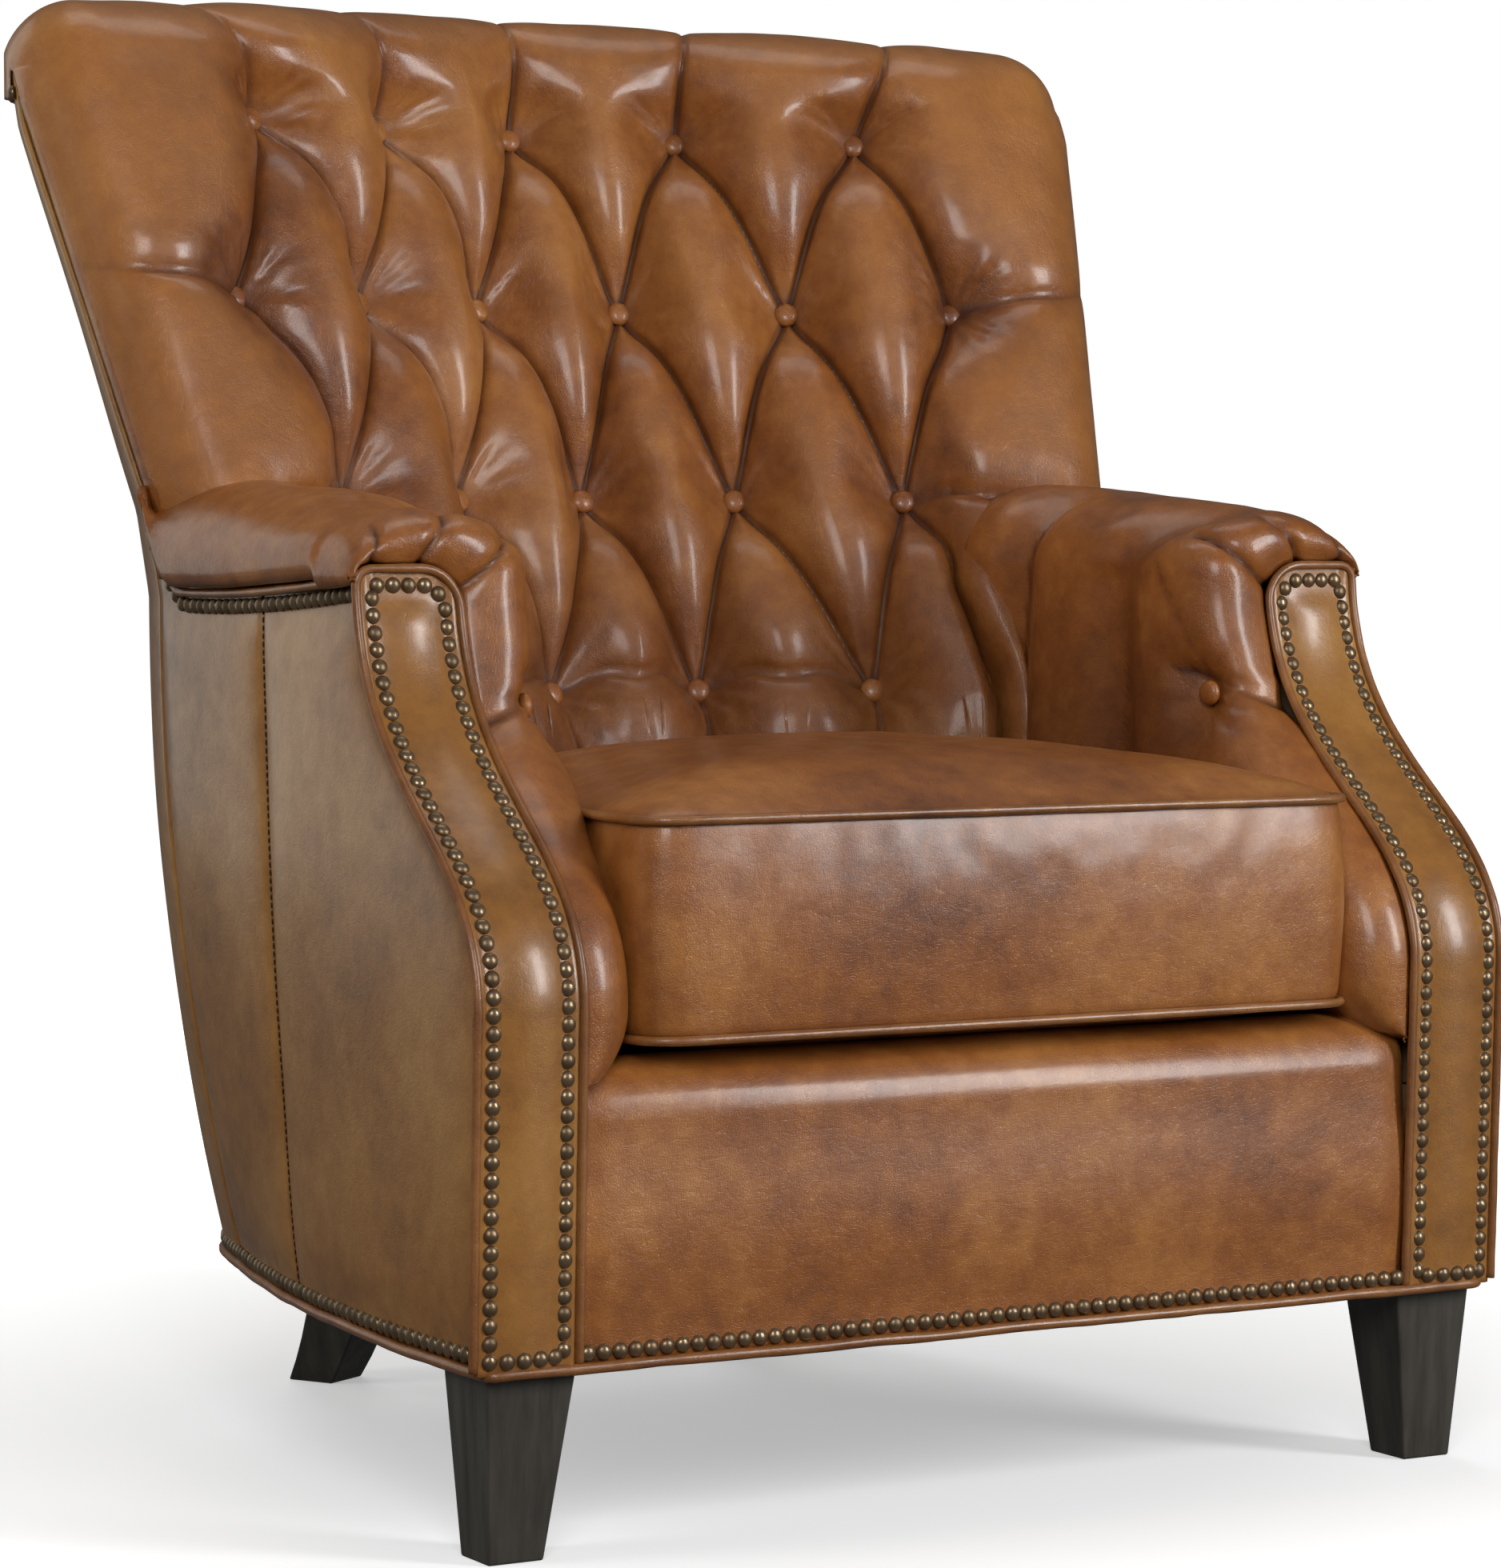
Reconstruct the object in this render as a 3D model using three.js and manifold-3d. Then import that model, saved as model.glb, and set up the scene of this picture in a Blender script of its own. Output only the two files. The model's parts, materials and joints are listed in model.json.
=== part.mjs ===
// Tufted barrel-back armchair with rolled arms, a loose seat cushion and tapered legs.
// Millimetres. +X is the sitter's left, -Y is the front, +Z is up, z = 0 is the floor.

import * as THREE from 'three';
import { mergeVertices } from 'three/addons/utils/BufferGeometryUtils.js';
import Module from 'manifold-3d';

const wasm = await Module();
wasm.setup();

// ---------------------------------------------------------------- driving dimensions

const GAP = 0.4; // clearance kept between pieces that touch
const SKIN = 3; // leather and its backing on the outside panels

const HEM_Z = 122; // lower edge of the covers
const BLOCK_Z = 120; // underside of the corner blocks
const RAIL_Z = 151; // underside of the seat rails
const RAIL_TOP = 262;
const BOARD = 30; // thickness of the seat rails
const LEG_TOP = BLOCK_Z - GAP;

const FRONT_Y = -393; // face of the front rail cover
const PANEL_INNER_X = 323;
const PANEL_OUTER_X = 394;
const PANEL_TOP_Z = 620;
const PANEL_THICKNESS = 6;
const PANEL_CORNER = 26; // rounding of the inner top corner

const ARM_INNER_X = 258; // inner face of the arm pads, beside the cushion
const ARM_OUTER_X = 399;
const ARM_UNDER_Z = 606; // underside of the arm roll
const ARM_SPRING_Z = 618; // springing line of the arm roll
const ARM_TOP_Z = 664;
const ARM_PAD_BOTTOM = 300;

const SIDE_REAR_Y = 111; // seam between the outside arm and the outside back
const FLARE_START_Z = 600; // the sides lean out from here
const FLARE_END_Z = 935; // and stand upright above here
const FLARE = 0.16; // outward lean of the wings, mm per mm of height
const TOP_Z = 1042; // crest of the back
const ROLL_Z = 1000; // springing line of the roll on the crest
const ROLL_UNDER = 976; // underside of the roll

const PAD_FRONT = 36; // back pad in front of the button line
const PAD_REAR = 12; // back pad behind the button line
const PAD_BOTTOM = 308;
const PAD_LOW_WIDTH = 300; // half width of the back pad between the arms

const RECLINE = 0.43; // backward lean of the inside back, mm per mm of height
const LEAN_START_Z = 500; // the back is upright below this height
const BUTTON_LINE_Y = 150; // button line on the centre at BUTTON_LINE_Z
const BUTTON_LINE_Z = 524;
const BARREL_DEPTH = 110; // how far the wings stand in front of the centre of the back
const BARREL_REACH = 360; // distance from the centre where the barrel turns flat

const CUSHION_HALF = 253;
const CUSHION_FRONT = -398;
const CUSHION_REAR = 86;
const CUSHION_BOTTOM = 306;
const CUSHION_EDGE = 466;
const CUSHION_CROWN = 498;
const COVER_THICKNESS = 3;

const WELT_RADIUS = 3.2;
const NAIL_ROW_Z = 132; // nail row round the foot of the covers
const NAIL_HALF = 5;
const NAIL_RISE = 3;
const NAIL_INSET = 9; // nail row in from the edge of the arm front
const TOP_NAIL_DROP = 10; // side nail row below the arm roll

// Boards of the frame: outer faces and ends.
const FRONT_RAIL = { half: 340, front: -372 };
const REAR_RAIL = { half: 190, front: 230, rear: 258 };
const BACK_POST = { foot: [210, 236], head: [284, 286], width: 34, depth: 30 };
const WING_POST = { foot: [357, 150], head: [390, 248], width: 22, depth: 32 };
const POST_HEAD_Z = 929;

// Seat suspension, laid on the rails.
const STRIP_TOP = 265.6;
const SPRING_Z = 268.3;
const SPRING_PLACES = [-162, -54, 54, 162];
const SPRING_FRONT_Y = -360;
const SPRING_LENGTH = 614;
const SPRING_BENDS = 11;
const SPRING_REACH = 25;
const SPRING_WIRE_RADIUS = 2;
const DECK = { half: 256, front: -298, rear: 120, bottom: 276, top: 304 };
const DUST_COVER_Z = 147.6;

// Legs: centre of the foot and of the head, as (x, y).
const FRONT_LEG = { foot: [356, -355], head: [351, -356], footHalf: 19.5, headHalf: 31 };
const REAR_LEG = { foot: [176, 300], knee: [170, 262], head: [168, 246], footHalf: 20, headHalf: 27 };
const KNEE_Z = 50;
const REAR_LEG_TURN = -30; // degrees
const BOLT_RADIUS = 4;

// ---------------------------------------------------------------- materials

const LOOKS = {
  leather: { color: 0xa5653a, roughness: 0.38, metalness: 0 },
  panel: { color: 0x9c6a3a, roughness: 0.42, metalness: 0 },
  welt: { color: 0x8a5430, roughness: 0.45, metalness: 0 },
  brass: { color: 0x7a5a3c, roughness: 0.35, metalness: 0.9 },
  espresso: { color: 0x2a2422, roughness: 0.45, metalness: 0 },
  hardwood: { color: 0xc2a070, roughness: 0.7, metalness: 0 },
  steel: { color: 0x8d9196, roughness: 0.35, metalness: 0.9 },
  cloth: { color: 0x2b2b2d, roughness: 0.95, metalness: 0 },
  webbing: { color: 0xb79a68, roughness: 0.95, metalness: 0 },
  foam: { color: 0xe6ddc0, roughness: 0.9, metalness: 0 },
  twine: { color: 0xcab88e, roughness: 0.9, metalness: 0 },
};

const chair = new THREE.Group();

function addPiece(name, geometry, look) {
  const mesh = new THREE.Mesh(geometry, new THREE.MeshStandardMaterial(LOOKS[look]));
  mesh.name = name;
  chair.add(mesh);
  return mesh;
}

// ---------------------------------------------------------------- solids from rings and booleans

function signedVolume(points, triangles) {
  let volume = 0;
  for (let i = 0; i < triangles.length; i += 3) {
    const [a, b, c] = [points[triangles[i]], points[triangles[i + 1]], points[triangles[i + 2]]];
    volume += a.dot(new THREE.Vector3().crossVectors(b, c)) / 6;
  }
  return volume;
}

// A ring runs along one side and back along the other, so a ladder between the sides closes it.
function capTriangles(count) {
  const faces = [];
  for (let j = 0; j + 1 <= count - 2 - j; j += 1) {
    const [b, c, d] = [j + 1, count - 2 - j, count - 1 - j];
    if (b < c) faces.push([j, b, c]);
    faces.push([j, c, d]);
  }
  return faces;
}

// Joins rings of equal length into one closed solid; `looped` joins the last ring to the first.
function loft(rings, looped = false) {
  const count = rings[0].length;
  const points = rings.flat();
  const triangles = [];
  const spans = looped ? rings.length : rings.length - 1;
  for (let i = 0; i < spans; i += 1) {
    const near = i * count;
    const far = ((i + 1) % rings.length) * count;
    for (let j = 0; j < count; j += 1) {
      const next = (j + 1) % count;
      triangles.push(near + j, near + next, far + next);
      triangles.push(near + j, far + next, far + j);
    }
  }
  if (!looped) {
    const lastStart = (rings.length - 1) * count;
    for (const [a, b, c] of capTriangles(count)) {
      triangles.push(c, b, a);
      triangles.push(lastStart + a, lastStart + b, lastStart + c);
    }
  }
  if (signedVolume(points, triangles) < 0) triangles.reverse();
  const geometry = new THREE.BufferGeometry();
  geometry.setAttribute('position', new THREE.Float32BufferAttribute(points.flatMap((p) => p.toArray()), 3));
  geometry.setIndex(triangles);
  geometry.computeVertexNormals();
  return geometry;
}

function toManifold(geometry) {
  const bare = geometry.clone();
  bare.deleteAttribute('normal');
  bare.deleteAttribute('uv');
  const merged = mergeVertices(bare, 1e-4);
  return new wasm.Manifold(new wasm.Mesh({
    numProp: 3,
    vertProperties: new Float32Array(merged.attributes.position.array),
    triVerts: new Uint32Array(merged.index.array),
  }));
}

function toGeometry(manifold) {
  const mesh = manifold.getMesh();
  const geometry = new THREE.BufferGeometry();
  geometry.setAttribute('position', new THREE.Float32BufferAttribute(mesh.vertProperties, 3));
  geometry.setIndex(Array.from(mesh.triVerts));
  geometry.computeVertexNormals();
  return geometry;
}

function subtract(geometry, ...cutters) {
  const whole = toManifold(geometry);
  return toGeometry(cutters.map(toManifold).reduce((solid, cutter) => solid.subtract(cutter), whole));
}

function join(geometries) {
  return toGeometry(geometries.map(toManifold).reduce((whole, part) => whole.add(part)));
}

function boxBetween(min, max) {
  const size = new THREE.Vector3().subVectors(max, min);
  const centre = new THREE.Vector3().addVectors(min, max).multiplyScalar(0.5);
  return new THREE.BoxGeometry(size.x, size.y, size.z).translate(centre.x, centre.y, centre.z);
}

// A straight board of a rectangular section (width along X, depth along Y) between two centres.
function uprightBoard(foot, head, width, depth) {
  const section = [[-1, -1], [1, -1], [1, 1], [-1, 1]];
  const ring = (centre) => section.map(([i, j]) => (
    new THREE.Vector3(centre.x + (i * width) / 2, centre.y + (j * depth) / 2, centre.z)
  ));
  return loft([ring(foot), ring(head)]);
}

function prism(outline, bottom, top) {
  const ring = (z) => outline.map(([x, y]) => new THREE.Vector3(x, y, z));
  return loft([ring(bottom), ring(top)]);
}

// A round rod through `points`; `upright` is a direction that the rod never runs along.
function rod(points, radius, sides, upright, looped = false) {
  const last = points.length - 1;
  const rings = points.map((point, index) => {
    const before = index > 0 ? points[index - 1] : points[looped ? last : 0];
    const after = index < last ? points[index + 1] : points[looped ? 0 : last];
    const along = new THREE.Vector3().subVectors(after, before).normalize();
    const across = new THREE.Vector3().crossVectors(along, upright).normalize();
    const lift = new THREE.Vector3().crossVectors(across, along);
    return Array.from({ length: sides }, (_, k) => {
      const angle = (2 * Math.PI * k) / sides;
      return point.clone()
        .addScaledVector(across, radius * Math.cos(angle))
        .addScaledVector(lift, radius * Math.sin(angle));
    });
  });
  return loft(rings, looped);
}

function mirrored(geometry) {
  const copy = geometry.clone().scale(-1, 1, 1);
  copy.setIndex(Array.from(copy.index.array).reverse());
  copy.computeVertexNormals();
  return copy;
}

function addPair(suffix, geometry, look) {
  addPiece(`left_${suffix}`, geometry, look);
  addPiece(`right_${suffix}`, mirrored(geometry), look);
}

// ---------------------------------------------------------------- curves that shape the chair

// Front edge of the arm: upright below, swept back between cushion and roll, upright above.
const armSweep = new THREE.CubicBezierCurve(
  new THREE.Vector2(-401, 350),
  new THREE.Vector2(-401, 458),
  new THREE.Vector2(-238, 470),
  new THREE.Vector2(-228, 610),
);
const SWEEP_BOTTOM = 350;
const SWEEP_TOP = 610;

function solveRising(valueAt, target) {
  let [low, high] = [0, 1];
  for (let i = 0; i < 30; i += 1) {
    const middle = (low + high) / 2;
    if (valueAt(middle) < target) low = middle;
    else high = middle;
  }
  return (low + high) / 2;
}

function armFrontY(z) {
  const toe = 8 * THREE.MathUtils.clamp((SWEEP_BOTTOM - z) / (SWEEP_BOTTOM - HEM_Z), 0, 1);
  if (z <= SWEEP_BOTTOM) return -401 + toe;
  if (z >= SWEEP_TOP) return -228;
  return armSweep.getPoint(solveRising((t) => armSweep.getPoint(t).y, z)).x;
}

// Half width of the outside at the seam behind the arm: bulges out low down, flares at the wings.
function seamX(z) {
  const rise = THREE.MathUtils.clamp((z - HEM_Z) / (FLARE_START_Z - HEM_Z), 0, 1);
  const flare = FLARE * Math.max(0, Math.min(z, FLARE_END_Z) - FLARE_START_Z);
  return 325 + 61 * (1 - (1 - rise) ** 2) + flare;
}

function seamY(z) {
  return SIDE_REAR_Y + 2 + RECLINE * Math.max(0, z - 660);
}

function outsideArmX(y, z) {
  const frontX = 383 + (5 * (z - HEM_Z)) / (FLARE_START_Z - HEM_Z);
  const taper = (frontX - seamX(z)) / (SIDE_REAR_Y + 330) ** 2;
  return frontX - taper * Math.max(0, y + 330) ** 2;
}

// Heights at which the arm covers are sectioned.
const SWEEP_STEP = 25;
const ARM_LEVELS = [HEM_Z, 220, 300];
for (let z = SWEEP_BOTTOM - 6; z <= PANEL_TOP_Z - PANEL_CORNER; z += SWEEP_STEP) ARM_LEVELS.push(z);

// Outside surface of the arm at height z, from the arm front to the seam at the back.
function sideLine(z, inset = 0) {
  const steps = 8;
  const front = armFrontY(z) + PANEL_THICKNESS + 1;
  return Array.from({ length: steps + 1 }, (_, i) => {
    const y = THREE.MathUtils.lerp(front, SIDE_REAR_Y, i / steps);
    return new THREE.Vector2(outsideArmX(y, z) - inset, y);
  });
}

function outsideBackCurve(z, inset = 0) {
  const height = (z - HEM_Z) / (ROLL_Z - HEM_Z);
  const seam = new THREE.Vector2(seamX(z) - inset, seamY(z));
  const rear = 295 + 120 * height - inset;
  const reach = THREE.MathUtils.lerp(165, 83, height);
  const lean = THREE.MathUtils.lerp(-0.2, 0.06, Math.min(1, height * 1.5));
  return new THREE.CubicBezierCurve(
    seam,
    new THREE.Vector2(seam.x + lean * reach, seam.y + reach),
    new THREE.Vector2(235, rear),
    new THREE.Vector2(0, rear),
  );
}

function rearLine(z, inset = 0) {
  return outsideBackCurve(z, inset).getPoints(9);
}

function outsideBackY(x, z) {
  const curve = outsideBackCurve(z);
  const t = solveRising((s) => -curve.getPoint(s).x, -Math.abs(x));
  return curve.getPoint(t).y;
}

// The surface that holds the tufting buttons.
function buttonLineY(x, z) {
  const across = Math.min(Math.abs(x), BARREL_REACH) / BARREL_REACH;
  const sweep = BARREL_DEPTH * Math.sin((Math.PI / 2) * across) ** 2;
  return BUTTON_LINE_Y + RECLINE * (Math.max(z, LEAN_START_Z) - BUTTON_LINE_Z) - sweep;
}

function backPadHalfWidth(z) {
  const wing = THREE.MathUtils.smoothstep(z, 640, 690);
  return THREE.MathUtils.lerp(PAD_LOW_WIDTH, seamX(Math.min(z, ROLL_Z)) + 5, wing);
}

// ---------------------------------------------------------------- legs

const SQUARE = [[-1, -1], [1, -1], [1, 1], [-1, 1]];

// Square section of a leg, turned about its centre by `turn` degrees.
function legRing(centre, half, turn = 0) {
  const angle = THREE.MathUtils.degToRad(turn);
  return SQUARE.map(([a, b]) => new THREE.Vector3(
    centre.x + half * (a * Math.cos(angle) - b * Math.sin(angle)),
    centre.y + half * (a * Math.sin(angle) + b * Math.cos(angle)),
    centre.z,
  ));
}

function frontLeg() {
  return loft([
    legRing(new THREE.Vector3(...FRONT_LEG.foot, 0), FRONT_LEG.footHalf),
    legRing(new THREE.Vector3(...FRONT_LEG.head, LEG_TOP), FRONT_LEG.headHalf),
  ]);
}

function rearLeg() {
  const steps = 6;
  const spine = new THREE.QuadraticBezierCurve3(
    new THREE.Vector3(...REAR_LEG.foot, 0),
    new THREE.Vector3(...REAR_LEG.knee, KNEE_Z),
    new THREE.Vector3(...REAR_LEG.head, LEG_TOP),
  );
  return loft(Array.from({ length: steps + 1 }, (_, i) => {
    const half = THREE.MathUtils.lerp(REAR_LEG.footHalf, REAR_LEG.headHalf, i / steps);
    return legRing(spine.getPoint(i / steps), half, REAR_LEG_TURN);
  }));
}

function hangerBolt(x, y, radius, bottom, top) {
  return new THREE.CylinderGeometry(radius, radius, top - bottom, 10)
    .rotateX(Math.PI / 2)
    .translate(x, y, (bottom + top) / 2);
}

function addLegs() {
  const boltFoot = 76;
  const places = [
    { end: 'front', x: 352, y: -356, leg: frontLeg(), block: frontBlockOutline() },
    { end: 'rear', x: 168, y: 247, leg: rearLeg(), block: rearBlockOutline() },
  ];
  for (const { end, x, y, leg, block } of places) {
    const hole = hangerBolt(x, y, BOLT_RADIUS + GAP, boltFoot - 2, RAIL_Z + BOARD);
    const blockSolid = prism(block, BLOCK_Z, RAIL_Z - GAP);
    addPair(`${end}_leg`, subtract(leg, hole), 'espresso');
    addPair(`${end}_corner_block`, subtract(blockSolid, hole), 'hardwood');
    addPair(`${end}_leg_bolt`, hangerBolt(x, y, BOLT_RADIUS, boltFoot, RAIL_Z - 3), 'steel');
  }
}

// ---------------------------------------------------------------- hardwood frame

function frontBlockOutline() {
  return [[378, -380], [378, -268], [352, -268], [250, -352], [250, -380]];
}

function rearBlockOutline() {
  return [[276, 175], [256, 236], [218, 262], [112, 266], [112, 214], [214, 152]];
}

function sideRail() {
  const outer = [[372, -338], [286, 196]];
  const inner = outer.map(([x, y]) => [x - BOARD, y]).reverse();
  return prism([...outer, ...inner], RAIL_Z, RAIL_TOP);
}

const POST_INNER_X = 345;
const POST_OUTER_X = 369;
const POST_TOP = 600;
const POST_DEPTH = 50;

function armPost() {
  const rings = [];
  for (let i = 0; i <= 14; i += 1) {
    const z = THREE.MathUtils.lerp(RAIL_TOP + GAP, POST_TOP, i / 14);
    const front = armFrontY(z) + PANEL_THICKNESS + 2;
    rings.push([
      new THREE.Vector3(POST_INNER_X, front, z),
      new THREE.Vector3(POST_OUTER_X, front, z),
      new THREE.Vector3(POST_OUTER_X, front + POST_DEPTH, z),
      new THREE.Vector3(POST_INNER_X, front + POST_DEPTH, z),
    ]);
  }
  return loft(rings);
}

function armRail() {
  const front = armFrontY(POST_TOP) + PANEL_THICKNESS + 2 + POST_DEPTH + GAP;
  return boxBetween(
    new THREE.Vector3(POST_INNER_X, front, 562),
    new THREE.Vector3(POST_OUTER_X, 168, POST_TOP),
  );
}

function backTopRail() {
  const half = 370;
  const rings = [];
  for (let i = 0; i <= 16; i += 1) {
    const x = THREE.MathUtils.lerp(-half, half, i / 16);
    const middle = 376 + 0.777 * (buttonLineY(x, BUTTON_LINE_Z) - BUTTON_LINE_Y);
    rings.push([
      new THREE.Vector3(x, middle - 12, 930),
      new THREE.Vector3(x, middle + 12, 930),
      new THREE.Vector3(x, middle + 12, 972),
      new THREE.Vector3(x, middle - 12, 972),
    ]);
  }
  return loft(rings);
}

function addFrame() {
  addPiece('front_seat_rail', boxBetween(
    new THREE.Vector3(-FRONT_RAIL.half, FRONT_RAIL.front, RAIL_Z),
    new THREE.Vector3(FRONT_RAIL.half, FRONT_RAIL.front + BOARD, RAIL_TOP),
  ), 'hardwood');
  addPiece('rear_seat_rail', boxBetween(
    new THREE.Vector3(-REAR_RAIL.half, REAR_RAIL.front, RAIL_Z),
    new THREE.Vector3(REAR_RAIL.half, REAR_RAIL.rear, RAIL_TOP),
  ), 'hardwood');
  addPair('side_rail', sideRail(), 'hardwood');
  addPair('arm_post', armPost(), 'hardwood');
  addPair('arm_rail', armRail(), 'hardwood');
  addPair('back_post', uprightBoard(
    new THREE.Vector3(...BACK_POST.foot, RAIL_Z),
    new THREE.Vector3(...BACK_POST.head, POST_HEAD_Z),
    BACK_POST.width,
    BACK_POST.depth,
  ), 'hardwood');
  addPair('wing_post', uprightBoard(
    new THREE.Vector3(...WING_POST.foot, POST_TOP + GAP),
    new THREE.Vector3(...WING_POST.head, POST_HEAD_Z),
    WING_POST.width,
    WING_POST.depth,
  ), 'hardwood');
  addPiece('back_top_rail', backTopRail(), 'hardwood');
}

// ---------------------------------------------------------------- seat suspension

function seatSpring(x) {
  const steps = SPRING_BENDS * 4;
  const points = Array.from({ length: steps + 1 }, (_, i) => {
    const swing = SPRING_REACH * Math.sin(Math.PI * SPRING_BENDS * (i / steps));
    return new THREE.Vector3(x + swing, SPRING_FRONT_Y + SPRING_LENGTH * (i / steps), SPRING_Z);
  });
  return rod(points, SPRING_WIRE_RADIUS, 4, new THREE.Vector3(0, 0, 1));
}

// Clip strip on top of a seat rail, which holds the ends of the springs.
function springStrip(half, front, rear) {
  return boxBetween(
    new THREE.Vector3(-half, front, RAIL_TOP + GAP),
    new THREE.Vector3(half, rear, STRIP_TOP),
  );
}

function dustCover() {
  const half = [
    [236, -368], [236, -346], [334, -264], [332, -180],
    [262, 130], [200, 146], [100, 200], [100, 228],
  ];
  const otherHalf = half.map(([x, y]) => [-x, y]).reverse();
  return prism([...half, ...otherHalf], DUST_COVER_Z, RAIL_Z - GAP);
}

function addSuspension() {
  addPiece('front_spring_strip', springStrip(225, -368, -346), 'steel');
  addPiece('rear_spring_strip', springStrip(196, 236, 257), 'steel');
  SPRING_PLACES.forEach((x, index) => {
    addPiece(`seat_spring_${index + 1}`, seatSpring(x), 'steel');
  });
  addPiece('seat_deck', boxBetween(
    new THREE.Vector3(-DECK.half, DECK.front, DECK.bottom),
    new THREE.Vector3(DECK.half, DECK.rear, DECK.top),
  ), 'cloth');
  addPiece('dust_cover', dustCover(), 'cloth');
}

// ---------------------------------------------------------------- tufted inside back

// Rows from the top: height of the row, half pitches from the centre, distance between columns.
const BUTTON_ROWS = [
  { z: 948, columns: [-2, -1, 0, 1, 2], pitch: 129 },
  { z: 813, columns: [-2.5, -1.5, -0.5, 0.5, 1.5, 2.5], pitch: 122 },
  { z: 668, columns: [-2, -1, 0, 1, 2], pitch: 118 },
  { z: 525, columns: [-1.5, -0.5, 0.5, 1.5], pitch: 124 },
];
const BUTTON_RADIUS = 9.5;
const LACE_OFFSET = 17; // tying twine behind the pad

function facingFront(geometry, x, z, y) {
  return geometry.rotateX(Math.PI).translate(x, y, z);
}

function buttonSolid(x, z) {
  const line = buttonLineY(x, z);
  const profile = [[0, 0], [BUTTON_RADIUS, 0], [BUTTON_RADIUS, 2], [BUTTON_RADIUS * 0.7, 6], [0, 8]];
  const head = new THREE.LatheGeometry(profile.map(([r, h]) => new THREE.Vector2(r, h)), 8);
  const shank = new THREE.CylinderGeometry(1.6, 1.6, LACE_OFFSET + 2, 4);
  return [
    facingFront(head, x, z, line),
    shank.translate(x, line + (LACE_OFFSET + 2) / 2 - 1, z),
  ];
}

function buttonRow({ z, columns, pitch }) {
  const lacePoints = [];
  const edge = columns.at(-1) * pitch;
  for (let i = 0; i <= 10; i += 1) {
    const x = THREE.MathUtils.lerp(-edge - 4, edge + 4, i / 10);
    lacePoints.push(new THREE.Vector3(x, buttonLineY(x, z) + LACE_OFFSET, z));
  }
  const lace = rod(lacePoints, 1.4, 4, new THREE.Vector3(0, 0, 1));
  return join([...columns.flatMap((column) => buttonSolid(column * pitch, z)), lace]);
}

// Funnel that a button pulls into the padding, with the hole for its twine.
function tuftCutters(x, z) {
  const line = buttonLineY(x, z);
  const funnel = new THREE.CylinderGeometry(BUTTON_RADIUS + 1.5, 34, PAD_FRONT + 6, 8);
  const hole = new THREE.CylinderGeometry(2.8, 2.8, PAD_FRONT + PAD_REAR + 20, 4);
  return [
    funnel.translate(x, line + 0.5 - (PAD_FRONT + 6) / 2, z),
    hole.translate(x, line, z),
  ];
}

function backPadRing(u) {
  const ring = [];
  const place = (y, z) => ring.push(new THREE.Vector3(u * backPadHalfWidth(z), y, z));
  const lineY = (z) => buttonLineY(u * backPadHalfWidth(z), z);
  const levels = [PAD_BOTTOM, LEAN_START_Z, 640, 665, 690, 800, 900];
  const rollX = u * backPadHalfWidth(ROLL_Z);
  const rollFront = lineY(ROLL_Z) - PAD_FRONT;
  const rollRear = outsideBackY(rollX, ROLL_Z);
  const rollHalf = (rollRear - rollFront) / 2;
  levels.forEach((z) => place(lineY(z) - PAD_FRONT, z));
  for (let k = 0; k <= 6; k += 1) {
    const angle = (Math.PI * k) / 6;
    const y = rollFront + rollHalf * (1 - Math.cos(angle));
    place(y, ROLL_Z + (TOP_Z - ROLL_Z) * Math.sin(angle));
  }
  place(rollRear - 2, ROLL_UNDER);
  place(Math.min(lineY(ROLL_UNDER) + PAD_REAR, rollRear - 8), ROLL_UNDER);
  levels.toReversed().forEach((z) => place(lineY(z) + PAD_REAR, z));
  return ring;
}

function insideBack() {
  const rings = [];
  for (let i = 0; i <= 20; i += 1) rings.push(backPadRing(-1 + i / 10));
  const cutters = BUTTON_ROWS.flatMap(({ z, columns, pitch }) => (
    columns.flatMap((column) => tuftCutters(column * pitch, z))
  ));
  return subtract(loft(rings), ...cutters);
}

function backWebbing() {
  const half = 188;
  const rings = [];
  for (let i = 0; i <= 10; i += 1) {
    const x = THREE.MathUtils.lerp(-half, half, i / 10);
    const at = (offset, z) => new THREE.Vector3(x, buttonLineY(x, z) + offset, z);
    rings.push([at(22, 330), at(22, 915), at(24.5, 915), at(24.5, 330)]);
  }
  return loft(rings);
}

// ---------------------------------------------------------------- outside covers

function outsideBack() {
  const levels = [HEM_Z, 180, 260, 360, 480, 600, 660, 760, 860, 974];
  const rings = levels.map((z) => {
    const whole = (inset) => [
      ...rearLine(z, inset),
      ...rearLine(z, inset).slice(0, -1).reverse().map((p) => new THREE.Vector2(-p.x, p.y)),
    ];
    return [...whole(0), ...whole(SKIN).reverse()].map((p) => new THREE.Vector3(p.x, p.y, z));
  });
  return loft(rings);
}

function outsideArm() {
  const rings = [...ARM_LEVELS, ARM_UNDER_Z - 2].map((z) => (
    [...sideLine(z), ...sideLine(z, SKIN).reverse()].map((p) => new THREE.Vector3(p.x, p.y, z))
  ));
  return loft(rings);
}

function frontRailCover() {
  const half = 314;
  const thickness = 12;
  const radius = 34;
  const springing = 262;
  const rearY = -300;
  const side = (inset) => {
    const line = [[FRONT_Y + inset, HEM_Z], [FRONT_Y + inset, springing]];
    for (let k = 1; k <= 5; k += 1) {
      const angle = (Math.PI / 2) * (k / 5);
      const bend = radius - inset;
      line.push([FRONT_Y + radius - bend * Math.cos(angle), springing + bend * Math.sin(angle)]);
    }
    return [...line, [rearY, springing + radius - inset]];
  };
  const profile = [...side(0), ...side(thickness).reverse()];
  const ring = (x) => profile.map(([y, z]) => new THREE.Vector3(x, y, z));
  return loft([ring(-half), ring(half)]);
}

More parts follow.
